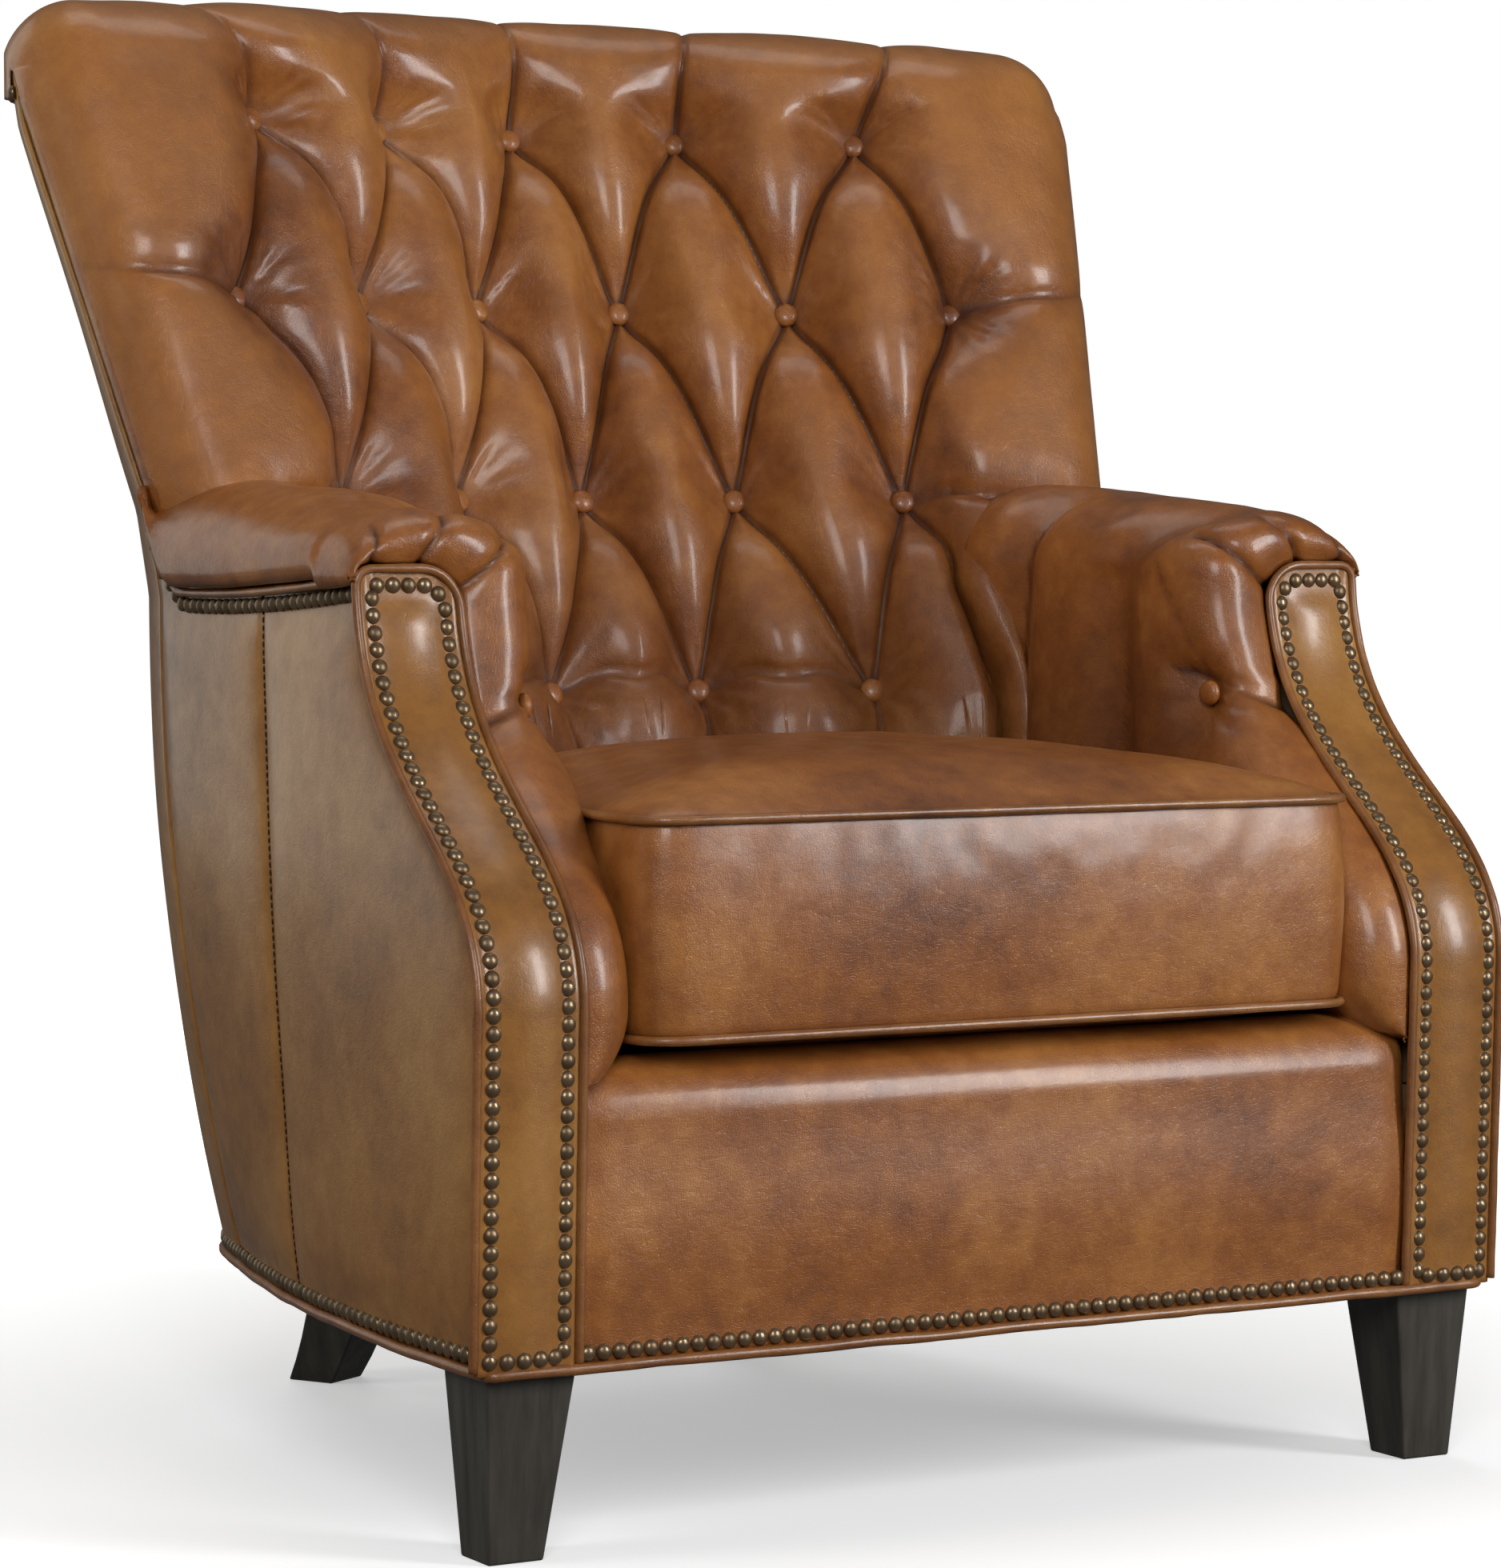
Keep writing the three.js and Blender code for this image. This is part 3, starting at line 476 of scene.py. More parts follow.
def cell_edges(tree, vector, scale, width):
    """0 along the edges of irregular cells, 1 from the given width on."""
    cells = tree.nodes.new("ShaderNodeTexVoronoi")
    cells.feature = "DISTANCE_TO_EDGE"
    cells.inputs["Scale"].default_value = scale
    tree.links.new(vector, cells.inputs["Vector"])
    return ramp(tree, cells.outputs["Distance"], [(0.0, (0.0,)), (width, (1.0,))])


def add_bump(tree, shader, height, strength, distance):
    """Shades the surface by a height; distance is in metres."""
    bump = tree.nodes.new("ShaderNodeBump")
    bump.inputs["Strength"].default_value = strength
    bump.inputs["Distance"].default_value = distance
    tree.links.new(height, bump.inputs["Height"])
    tree.links.new(bump.outputs["Normal"], shader.inputs["Normal"])


def leather_colour(tree, mottle, painted_shade, dark, middle, light):
    """Patina in clouds and mottles, with specks, crowns paler from wear and painted highlight, and
    painted shade in the creases.
    """
    clouds = object_noise(tree, CLOUD_SCALE, 4.0, 0.55)
    blend = arithmetic(tree, "ADD",
                       arithmetic(tree, "MULTIPLY", clouds, CLOUD_SHARE),
                       arithmetic(tree, "MULTIPLY", mottle, 1 - CLOUD_SHARE))
    colour = ramp(tree, blend, [(0.34, dark), (0.5, middle), (0.66, light)])
    specks = ramp(tree, object_noise(tree, SPECK_SCALE, 3.0, 0.7), [(0.30, (0.62,)), (0.50, (1.0,))])
    colour = mix_colour(tree, SPECK_SHARE, colour, specks, "MULTIPLY")
    # Crowns are made paler: partly wear, partly a painted highlight on the tops of the puffs.
    worn_and_highlit = arithmetic(tree, "MULTIPLY", stored(tree, "wear_and_highlight"), WEAR_AND_HIGHLIGHT_SHARE)
    colour = mix_colour(tree, worn_and_highlit, colour, (*light, 1))
    # Painted shade: creases and shaded places are mixed towards a darker, redder brown.
    painted_shade_colour = (0.34 * dark[0], 0.22 * dark[1], 0.16 * dark[2], 1)
    return mix_colour(tree, painted_shade, colour, painted_shade_colour)


def leather_height(tree):
    """Pores, crossing folds and fine wrinkles."""
    where = tree.nodes.new("ShaderNodeTexCoord").outputs["Object"]
    bent = tree.nodes.new("ShaderNodeVectorMath")
    bent.operation = "MULTIPLY_ADD"
    tree.links.new(tree.nodes.new("ShaderNodeTexNoise").outputs["Color"], bent.inputs[0])
    bent.inputs[1].default_value = (FOLD_BEND, FOLD_BEND, FOLD_BEND)
    tree.links.new(where, bent.inputs[2])
    pores = cell_edges(tree, where, PORE_SCALE, 0.18)
    folds = cell_edges(tree, bent.outputs["Vector"], FOLD_SCALE, 0.10)
    wrinkles = object_noise(tree, WRINKLE_SCALE, 5.0, 0.62)
    height = arithmetic(tree, "ADD", arithmetic(tree, "MULTIPLY", pores, 0.16), wrinkles)
    return arithmetic(tree, "ADD", height, arithmetic(tree, "MULTIPLY", folds, 0.12))


def leather(name, dark, middle, light, roughness, relief):
    """Waxed pull-up leather: mottled patina, crowns paler from wear and painted highlight, painted
    shade in the creases, pores and fine wrinkles.
    """
    made, tree, shader = node_material(name)
    mottle = object_noise(tree, MOTTLE_SCALE, 7.0, 0.68)
    painted_shade = stored(tree, "painted_shade")
    colour = leather_colour(tree, mottle, painted_shade, dark, middle, light)
    tree.links.new(colour, shader.inputs["Base Color"])
    polish = ramp(tree, mottle, [(0.3, (roughness + 0.06,)), (0.7, (roughness - 0.05,))])
    # The painted shade mask also makes the creases rougher and takes the wax coat off them.
    polish = arithmetic(tree, "ADD", polish, arithmetic(tree, "MULTIPLY", painted_shade, 0.25))
    tree.links.new(polish, shader.inputs["Roughness"])
    shader.inputs["Specular IOR Level"].default_value = 0.55
    waxed = arithmetic(tree, "MULTIPLY", arithmetic(tree, "SUBTRACT", 1.0, painted_shade), WAX)
    tree.links.new(waxed, shader.inputs["Coat Weight"])
    shader.inputs["Coat Roughness"].default_value = 0.2
    add_bump(tree, shader, leather_height(tree), relief, LEATHER_BUMP)
    return made


def metal(name, dark, light, roughness):
    made, tree, shader = node_material(name)
    patina = object_noise(tree, 90.0, 3.0, 0.5)
    tree.links.new(ramp(tree, patina, [(0.38, dark), (0.62, light)]), shader.inputs["Base Color"])
    polish = ramp(tree, patina, [(0.3, (roughness + 0.12,)), (0.7, (roughness - 0.08,))])
    tree.links.new(polish, shader.inputs["Roughness"])
    shader.inputs["Metallic"].default_value = 0.75
    return made


def wood(name, dark, light, roughness):
    made, tree, shader = node_material(name)
    grain = object_noise(tree, 60.0, 6.0, 0.6, stretch=(1, 1, 0.08))
    fine = object_noise(tree, 420.0, 3.0, 0.6, stretch=(1, 1, 0.05))
    colour = ramp(tree, grain, [(0.35, dark), (0.65, light)])
    tree.links.new(colour, shader.inputs["Base Color"])
    polish = ramp(tree, fine, [(0.3, (roughness + 0.1,)), (0.7, (roughness - 0.08,))])
    tree.links.new(polish, shader.inputs["Roughness"])
    add_bump(tree, shader, fine, 0.25, 0.0004)
    return made


def woven(name, dark, light, threads):
    """Plain cloth: two sets of threads over and under each other."""
    made, tree, shader = node_material(name)
    where = tree.nodes.new("ShaderNodeTexCoord")
    waves = []
    for direction in ("X", "Y"):
        wave = tree.nodes.new("ShaderNodeTexWave")
        wave.bands_direction = direction
        wave.inputs["Scale"].default_value = threads
        tree.links.new(where.outputs["Object"], wave.inputs["Vector"])
        waves.append(wave.outputs["Fac"])
    weave = arithmetic(tree, "MULTIPLY", waves[0], waves[1])
    tree.links.new(ramp(tree, weave, [(0.0, dark), (0.8, light)]), shader.inputs["Base Color"])
    shader.inputs["Roughness"].default_value = 0.95
    add_bump(tree, shader, weave, 0.4, 0.0005)
    return made


LEATHER = leather("leather", srgb(106, 55, 19), srgb(152, 90, 37), srgb(184, 122, 60), 0.36, 0.5)
OUTSIDE = leather("outside_leather", srgb(122, 78, 32), srgb(158, 106, 48), srgb(180, 130, 66),
                  0.34, 0.28)
WELTING = leather("welt_leather", srgb(104, 58, 24), srgb(140, 88, 42), srgb(168, 114, 60), 0.38, 0.4)
BRONZE = metal("nail_bronze", srgb(116, 96, 72), srgb(146, 124, 96), 0.34)
ESPRESSO = wood("espresso_wood", srgb(56, 52, 47), srgb(80, 76, 69), 0.4)
HARDWOOD = wood("hardwood", srgb(168, 130, 84), srgb(206, 172, 122), 0.7)
STEEL = metal("spring_steel", srgb(96, 98, 102), srgb(150, 152, 156), 0.4)
CLOTH = woven("black_cloth", srgb(20, 20, 21), srgb(52, 52, 54), 260)
THREAD = woven("sewing_thread", srgb(46, 30, 16), srgb(84, 56, 30), 900)
WEBBING = woven("jute_webbing", srgb(120, 92, 54), srgb(196, 164, 112), 130)
FOAM = woven("foam", srgb(214, 202, 164), srgb(232, 224, 196), 420)


# ------------------------------------------------------------------ tufted inside back

ROW_Z = (948, 813, 668, 525)
ROW_HALF_PITCH = (64.5, 61, 59, 62)
ROW_COLUMNS = (EVEN, (-5, -3, -1, 1, 3, 5), EVEN, (-3, -1, 1, 3))
CREST_HALF_PITCH = 76
V_REAR = -2.1
V_ROLL_END = -1.9
V_ROLL_START = -0.45
V_FOOT = 4.5
U_EDGE = 7
CELLS = 28
ROLL_START_Z = 988
ROLL_BED_RISE = 8
ROLL_POLE_Z = 976
LEAN_ANGLE = math.atan(RECLINE)
PUFF = 36
VALLEY = 13
CREST_PLEAT = 0.12
LATTICE_X = 61
LATTICE_S = 150
ARCH = 11
PLEAT_RADIUS = 57
GROOVE_WIDTH = 2.3
GROOVE_DEPTH = 2.4
FOLD_RING = 22
FOLD_HEIGHT = 1.7
# Strength of the painted shade low on the inside back, where the seat's hollow lies in shadow.
LOW_BACK_PAINTED_SHADE = 0.4
# Strength of the painted shade low on the inner side of each arm, beside the seat.
INNER_ARM_PAINTED_SHADE = 0.5


def wing_edge(z):
    """Half width of the inside back: narrow between the arms, out to the wings above them."""
    wing = smoothstep(z, 588, 640)
    return lerp(300, seam_x(z) + 1.5, wing)


def tuft_creases():
    """Sewn pleats as (u, v, u, v, radius, depth) in the lattice of the buttons."""
    creases = []
    for row in range(3):
        below = set(ROW_COLUMNS[row + 1]) | ({-5, 5} if row == 2 else set())
        for u in ROW_COLUMNS[row]:
            steps = [step for step in (-1, 1) if u + step in below]
            creases += [(u, row, u + step, row + 1, PLEAT_RADIUS, 1.0) for step in steps]
    creases += [(u, 0, u, V_REAR, 62, 1.0) for u in EVEN]
    creases += [(u, 3, u, V_FOOT, 52, 0.8) for u in (-5, -3, -1, 1, 3, 5)]
    creases += [(u, 3, u + 2, 3, 40, 0.45) for u in (-3, -1, 1)]
    creases += [(5 * side, 1, 8 * side, 0.98, 28, 0.38) for side in (-1, 1)]
    creases += [(4 * side, 2, 5.6 * side, 2.1, 40, 0.5) for side in (-1, 1)]
    return creases


def tuft_relief(u, v):
    """Height of the stuffed leather above the button surface, and the painted shade in its creases
    and round the buttons.
    """
    x, s = u * LATTICE_X, v * LATTICE_S
    rise = np.ones_like(u)
    groove = np.zeros_like(u)
    for u1, v1, u2, v2, radius, depth in tuft_creases():
        gap = segment_distance(
            x, s, u1 * LATTICE_X, v1 * LATTICE_S, u2 * LATTICE_X, v2 * LATTICE_S)
        if v2 == V_REAR:
            depth = lerp(1.0, CREST_PLEAT, smoothstep(-v, 0.1, 0.9))
        if abs(u2) > U_EDGE:
            depth = depth * (1 - smoothstep(np.abs(u), 6.0, 7.0))
        rise *= 1 - depth * (1 - round_rise(gap, radius))
        line = np.maximum(np.sqrt(depth), 0.5)
        groove = np.maximum(groove, line * np.exp(-(gap / GROOVE_WIDTH) ** 2))
    near = np.full_like(u, 1e6)
    folds = np.zeros_like(u)
    for row, columns in enumerate(ROW_COLUMNS):
        for column in columns:
            dx, ds = x - column * LATTICE_X, s - row * LATTICE_S
            away = np.hypot(dx, ds)
            near = np.minimum(near, away)
            angle = np.arctan2(ds, dx)
            turn = random.uniform(0, 6)
            ring = np.exp(-((away - FOLD_RING) / 15) ** 2)
            folds += ring * (np.cos(13 * angle + turn) + 0.7 * np.cos(7 * angle + 2 * turn))
    valley = VALLEY * (1 - np.exp(-(near / 42) ** 2))
    height = valley + PUFF * rise + FOLD_HEIGHT * folds * np.sqrt(rise) - GROOVE_DEPTH * groove
    # Painted shade along the pleats' grooves and in the dimples round the buttons.
    painted_shade = np.clip(0.8 * groove + 0.5 * np.exp(-(near / 13) ** 2), 0, 1)
    return height, painted_shade


def tuft_points(u, v, height, inset=0):
    """Points of the inside back at lattice (u, v), height mm above the button surface."""
    half_pitch = np.interp(v, [-1, 0, 1, 2, 3], [CREST_HALF_PITCH, *ROW_HALF_PITCH])
    z = np.interp(v, [V_ROLL_START, 0, 1, 2, 3, V_FOOT], [ROLL_START_Z, *ROW_Z, PAD_BOTTOM])
    among_rows = smoothstep(v, -0.3, 0) * (1 - smoothstep(v, 3, 3.3))
    inside = among_rows * (1 - smoothstep(np.abs(u), 4.5, 5))
    z = z + inside * ARCH * (1 - np.cos(np.pi * (u + v)) * np.cos(np.pi * (u - v))) / 2
    edge = wing_edge(z)
    reach = np.abs(u)
    inner = 4 * half_pitch
    third = (edge - inner) / 3
    turn = np.clip(reach - 6, 0, 1) * np.pi / 2
    x = np.where(reach <= 4, reach * half_pitch, inner + third * (reach - 4))
    x = np.where(reach <= 6, x, edge - third + third * np.sin(turn))
    flat_x = np.minimum(x, edge - third)
    fade = np.cos(turn)

    slope = (button_line_y(flat_x + 1, z) - button_line_y(flat_x - 1, z)) / 2 * np.sign(u)
    roll = np.clip((V_ROLL_START - v) / (V_ROLL_START - V_ROLL_END), 0, 1)
    angle = lerp(LEAN_ANGLE, np.pi, roll)
    lean = np.where(z > LEAN_START_Z, LEAN_ANGLE, 0)
    angle = np.where(v >= V_ROLL_START, lean, angle)
    rear_curve = outside_back_curve(ROLL_Z, np.linspace(0, 1, 60))
    rear = np.interp(flat_x, rear_curve[::-1, 0], rear_curve[::-1, 1])
    start_y = button_line_y(flat_x, z)
    half_depth = np.maximum(4, (rear - 46 - start_y) / (1 + math.cos(LEAN_ANGLE)))
    bed_y = np.where(v >= V_ROLL_START, start_y,
                     start_y + half_depth * (math.cos(LEAN_ANGLE) - np.cos(angle)))
    bed_z = np.where(v >= V_ROLL_START, z,
                     z + ROLL_BED_RISE * (np.sin(angle) - math.sin(LEAN_ANGLE)))
    normal = points_at(slope * np.maximum(np.cos(angle), 0), -np.cos(angle), np.sin(angle))
    normal /= np.linalg.norm(normal, axis=-1, keepdims=True)
    crest_drop = (22 * (np.abs(x) / 450) ** 2 - 3) * smoothstep(bed_z, 940, 1000)
    point_x = np.sign(u) * x + normal[..., 0] * height * fade
    point_y = bed_y + normal[..., 1] * height
    point_z = bed_z + normal[..., 2] * height - crest_drop
    below = np.clip((V_ROLL_END - v) / (V_ROLL_END - V_REAR), 0, 1)
    point_z = point_z - 12 * below
    target_y = seam_y(np.minimum(z, 975)) + 4
    point_y = target_y + (point_y - target_y) * fade
    point_z = np.where(point_z > ROLL_POLE_Z, ROLL_POLE_Z + (point_z - ROLL_POLE_Z) * fade, point_z)
    cover_y = np.interp(np.abs(point_x), rear_curve[::-1, 0], rear_curve[::-1, 1])
    point_y = np.where(roll > 0, np.minimum(point_y, cover_y + 5 - inset), point_y)
    return points_at(point_x, point_y, point_z)


def pleat_triangles(rows, cols, first_row):
    """Splits each cell of the lattice along the way its pleat runs."""
    faces = []
    for a, b, c, d in quads(rows, cols):
        row, col = divmod(int(a), cols)
        even = ((col // CELLS - U_EDGE) + (row - first_row) // CELLS) % 2 == 0
        if even:
            faces += [(a, b, c), (a, c, d)]
        else:
            faces += [(a, b, d), (b, c, d)]
    return faces


def build_inside_back():
    cols = 2 * U_EDGE * CELLS + 1
    above = int(round(-V_REAR * CELLS))
    below = int(round(V_FOOT * CELLS))
    rows = above + below + 1
    u = np.linspace(-U_EDGE, U_EDGE, cols)[None, :].repeat(rows, axis=0)
    v = (np.arange(rows) - above)[:, None].repeat(cols, axis=1) / CELLS
    height, painted_shade = tuft_relief(u, v)
    flat = tuft_points(u, v, height)
    height = height + 1.4 * noise_field(flat, 90, 1) + 0.5 * noise_field(flat, 28, 2)
    front = tuft_points(u, v, height)
    back = tuft_points(u, v, height - 5, inset=4)
    cells = pleat_triangles(rows, cols, above)
    made = slab("tufted_back", front, back, LEATHER, flip=True, front_faces=cells)
    # Painted shade low on the inside back; the paler crowns are left off there.
    low = (1 - smoothstep(front[..., 2], 500, 760)) * (1 - smoothstep(np.abs(u), 5.6, 6.6))
    # Tops of the puffs are painted paler, partly from wear and partly as a painted highlight.
    worn_lit_crowns = np.clip((height - 38) / 14, 0, 1)
    paint(made, np.maximum(painted_shade, LOW_BACK_PAINTED_SHADE * low), worn_lit_crowns * (1 - low))
    finish_piece(made, "leather", "inside_back", fill=0.75)


def build_buttons():
    profile = ((0.55, -2.5), (0.95, -0.5), (1.0, 1.2), (0.94, 3.0),
               (0.78, 4.6), (0.52, 5.7), (0.24, 6.2))
    sized = [(share * BUTTON_RADIUS, height) for share, height in profile]
    for row, columns in enumerate(ROW_COLUMNS):
        u = np.array(columns, float)
        v = np.full_like(u, row)
        bed = tuft_points(u, v, np.zeros_like(u))
        raised = tuft_points(u, v, np.full_like(u, 1.0))
        places = [(point, up - point) for point, up in zip(bed, raised)]
        made = domes(f"tuft_buttons_{row + 1}", places, sized, 20, LEATHER)
        finish_piece(made, "leather", f"button_row_{row + 1}")


# ------------------------------------------------------------------ arms

WRAP_STEPS = 18
SIDE_STEPS = 60
WRAP_DEPTH = 46
WRAP_RUN = 76
ROW_RUN = 4.6
FOOT_RADIUS = 48
ARM_BUTTON_Y = -226
ARM_BUTTON_Z = 531
ARM_BUTTON_SINK = 16

# Pleats at the welt: height there, height at the far end, reach and drop. These heights and the
# ones below are distances round the arm above the spring of its roll.
ARM_PLEATS = ((172, 152, 52, 4), (98, 90, 58, 8), (22, 36, 62, 8), (-76, -70, 76, 8))
# Hollows and folds of the inner side as lines (y, height, y, height).
ARM_CHANNEL = ((-121, -160, -121, -10), (-121, -10, -165, 76))
ARM_CHANNEL_FOLD = ((-119, -160, -121, -70),)
ARM_JUNCTION = ((22, -160, 4, 66),)
ARM_FAN = ((-170, -150, -128, -95), (-82, -150, -114, -85), (-205, -160, -222, -104))
ARM_BUTTON_FOLD = ((-238, -84, -180, 4),)


def arm_outlines():
    """Matching outlines (x, z) of the arm pad's body and of the arm front that it wraps."""
    side = np.linspace(0, 1, SIDE_STEPS)
    arc = np.linspace(0, np.pi, 56)[1:]
    crest = (ARM_INNER_X + ARM_OUTER_X) / 2
    half = (ARM_OUTER_X - ARM_INNER_X) / 2
    body_side = points_at(ARM_INNER_X, lerp(ARM_BOTTOM_Z, ARM_SPRING_Z, side))
    body_arc = points_at(crest - half * np.cos(arc),
                         ARM_SPRING_Z + (ARM_TOP_Z - ARM_SPRING_Z) * np.sin(arc))
    body_end = np.array([[ARM_OUTER_X - 1, 613], [ARM_OUTER_X - 5, ARM_UNDER_Z]])
    inner = PANEL_INNER_X - 3
    corner = PANEL_CORNER + 3
    corner_z = PANEL_TOP_Z - PANEL_CORNER
    quarter = arc[arc <= np.pi / 2]
    rest = arc[arc > np.pi / 2]
    front_side = points_at(inner, lerp(ARM_BOTTOM_Z, corner_z, side))
    front_arc = points_at(inner + corner * (1 - np.cos(quarter)), corner_z + corner * np.sin(quarter))
    top = (rest - np.pi / 2) / (np.pi / 2)
    front_top = points_at(lerp(inner + corner, PANEL_OUTER_X + 2, top),
                          corner_z + corner - 8 * np.clip((top - 0.85) / 0.15, 0, 1) ** 2)
    front_end = np.array([[PANEL_OUTER_X + 3, 620], [PANEL_OUTER_X + 3, 618]])
    body = np.concatenate([body_side, body_arc, body_end])
    front = np.concatenate([front_side, front_arc, front_top, front_end])
    return body, front


def squeezed(y, z):
    """How far the cushion's front corner presses the arm pad back."""
    return 15 * (1 - smoothstep(y, -350, -240)) * (1 - smoothstep(z, 440, 490))


def arm_skin():
    """Grid of the arm pad on the sitter's left: rows run back from the welt."""
    body, front = arm_outlines()
    rows = []
    for share in np.linspace(0, 1, WRAP_STEPS):
        outline = front + (body - front) * math.sin(share * math.pi / 2)
        bulge = 5 + 10 * smoothstep(outline[:, 1], 480, 580)
        y = arm_front_y(outline[:, 1]) + 2 + WRAP_DEPTH * (1 - math.cos(share * math.pi / 2))
        y = y - bulge * math.sin(math.pi * share)
        x = outline[:, 0] + squeezed(y, outline[:, 1]) * math.sin(share * math.pi / 2)
        rows.append(points_at(x, y, outline[:, 1]))
    foot = np.clip((body[:, 1] - ARM_BOTTOM_Z) / FOOT_RADIUS, 0, 1)
    tuck = np.where(body[:, 0] < PANEL_INNER_X, 1 - np.sqrt(1 - (1 - foot) ** 2), 0)
    for index, row in enumerate(rows):
        reach = math.sin(math.pi / 2 * index / (WRAP_STEPS - 1))
        row[:, 0] += (PANEL_INNER_X - 3 - row[:, 0]) * tuck * (reach > 0)
    start_y = rows[-1][:, 1]
    end_y = np.interp(body[:, 0], [ARM_INNER_X, 330, ARM_OUTER_X], [70, 96, SIDE_REAR_Y + 5])
    outer = smoothstep(body[:, 0], 350, ARM_OUTER_X)
    for share in np.linspace(0, 1, 72)[1:]:
        y = lerp(start_y, end_y, share)
        top = smoothstep(body[:, 1], 560, ARM_SPRING_Z)
        ending = np.clip((y - (end_y - 16)) / 16, 0, 1)
        end_drop = 1 - np.sqrt(np.maximum(0, 1 - ending ** 2)) * outer - (1 - outer)
        z = body[:, 1] - np.maximum(0, body[:, 1] - ARM_UNDER_Z) * 0.3 * end_drop
        sag = (ARM_UNDER_Z - 13 - side_row_z(y)) * outer * (1 - smoothstep(body[:, 1], 612, 650))
        x = body[:, 0] + squeezed(y, body[:, 1]) * (1 - outer) - 5 * end_drop * outer
        x = x + (PANEL_INNER_X - 3 - x) * tuck
        rows.append(points_at(x, y, z - sag * top * (body[:, 0] > 330)))
    return np.array(rows)


def arm_relief(skin):
    """Heights of the pleats, channels and button dimple over the arm pad, and the painted shade in
    them and low on the inner side.
    """
    length = np.linalg.norm(np.diff(skin[-1], axis=0), axis=1)
    run = np.concatenate([[0], np.cumsum(length)])
    rise = (run - run[SIDE_STEPS - 1])[None, :].repeat(len(skin), axis=0)
    behind = WRAP_RUN + ROW_RUN * np.arange(1, len(skin) - WRAP_STEPS + 1)
    depth = np.concatenate([np.linspace(0, WRAP_RUN, WRAP_STEPS), behind])
    depth = depth[:, None].repeat(skin.shape[1], axis=1)
    y = skin[..., 1]
    height = np.zeros_like(rise)
    painted_shade = np.zeros_like(rise)

    # Each crease and channel also gets painted shade along its line.
    def crease(gap, radius, drop, fade=1.0):
        nonlocal height, painted_shade
        height = height - drop * fade * (1 - round_rise(gap, radius))
        painted_shade = np.maximum(painted_shade, 0.95 * fade * np.exp(-(gap / 2.4) ** 2))

    def channel(gap, radius, drop):
        nonlocal height, painted_shade
        height = height - drop * np.exp(-(gap / radius) ** 2)
        painted_shade = np.maximum(painted_shade, 0.25 * np.exp(-(gap / (0.6 * radius)) ** 2))

    for start, end, reach, drop in ARM_PLEATS:
        crease(segment_distance(depth, rise, 2, start, reach, end), 19, drop)
    channel(lines_gap(y, rise, ARM_CHANNEL), 30, 19)
    crease(lines_gap(y, rise, ARM_CHANNEL_FOLD), 16, 4, 0.8)
    channel(lines_gap(y, rise, ARM_JUNCTION), 27, 20)
    crease(lines_gap(y, rise, ARM_JUNCTION), 14, 4, 0.8)
    crease(lines_gap(y, rise, ARM_FAN), 16, 3, 0.5)
    crease(lines_gap(y, rise, ARM_BUTTON_FOLD), 22, 2.5, 0.5)

    behind_button = y - ARM_BUTTON_Y
    above_button = rise - (ARM_BUTTON_Z - ARM_SPRING_Z)
    button_gap = np.hypot(behind_button, above_button)
    height = height - 19 * np.exp(-(button_gap / 27) ** 2)
    # Painted shade in the button's dimple.
    painted_shade = np.maximum(painted_shade, 0.5 * np.exp(-(button_gap / 13) ** 2))
    angle = np.arctan2(above_button, behind_button)
    height = height + 1.9 * np.cos(11 * angle) * np.exp(-((button_gap - FOLD_RING) / 13) ** 2)

    height = height + 5 * smoothstep(depth, 60, 120)
    # Painted shade low on the inner side beside the seat, where it lies in shadow.
    inner = 1 - smoothstep(skin[..., 0], 268, 325)
    low = (1 - smoothstep(skin[..., 2], 480, 640)) * smoothstep(y, -330, -150)
    painted_shade = np.maximum(painted_shade, INNER_ARM_PAINTED_SHADE * low * inner)
    return height * smoothstep(rise[0, -1] - rise, 0, 34), painted_shade


def build_arm(side, sign):
    skin = arm_skin()
    height, painted_shade = arm_relief(skin)
    rise = 13 * smoothstep(skin[..., 1], -150, 60) * smoothstep(skin[..., 2], 612, ARM_TOP_Z)
    skin[..., 2] += rise
    height = height + 1.3 * noise_field(skin, 80, 3 + sign) + 0.4 * noise_field(skin, 26, 5)
    normal = grid_normals(skin)
    inner_side = normal[len(skin) // 2, SIDE_STEPS // 2]
    outward = normal * (-1 if inner_side[0] > 0 else 1)
    front = skin + outward * height[..., None]
    back = front - outward * 4
    mirror = np.array([sign, 1, 1])
    made = slab(f"{side}_arm_cover", front * mirror, back * mirror, LEATHER, flip=sign < 0)
    paint(made, painted_shade)
    finish_piece(made, "leather", f"{side}_arm_pad", fill=0.7)
    spot = np.array([ARM_INNER_X + ARM_BUTTON_SINK, ARM_BUTTON_Y, ARM_BUTTON_Z])
    facing = np.array([-sign, -0.15, 0])
    profile = [(5, -3), (8.6, -1), (9, 1), (8.2, 3.2), (6, 4.8), (2.5, 5.6)]
    button = domes(f"{side}_arm_button", [(spot * mirror, facing)], profile, 20, LEATHER)
    finish_piece(button, "leather")


def panel_y(x, z):
    """Face of the arm front: leather pulled down by the nails and puffed between them."""
    inner, outer = PANEL_INNER_X + 12, PANEL_OUTER_X - 8
    middle = np.clip((x - inner) / (outer - inner), 0, 1)
    cap = smoothstep(PANEL_TOP_Z - 12 - z, 0, 22)
    puff = 5.5 * np.sin(np.pi * middle) ** 0.7 * cap
    rim = np.minimum(np.abs(x - PANEL_INNER_X), np.abs(PANEL_OUTER_X - x))
    return arm_front_y(z) - puff - 1.5 * np.sin(np.pi * np.clip(rim / 9, 0, 1))


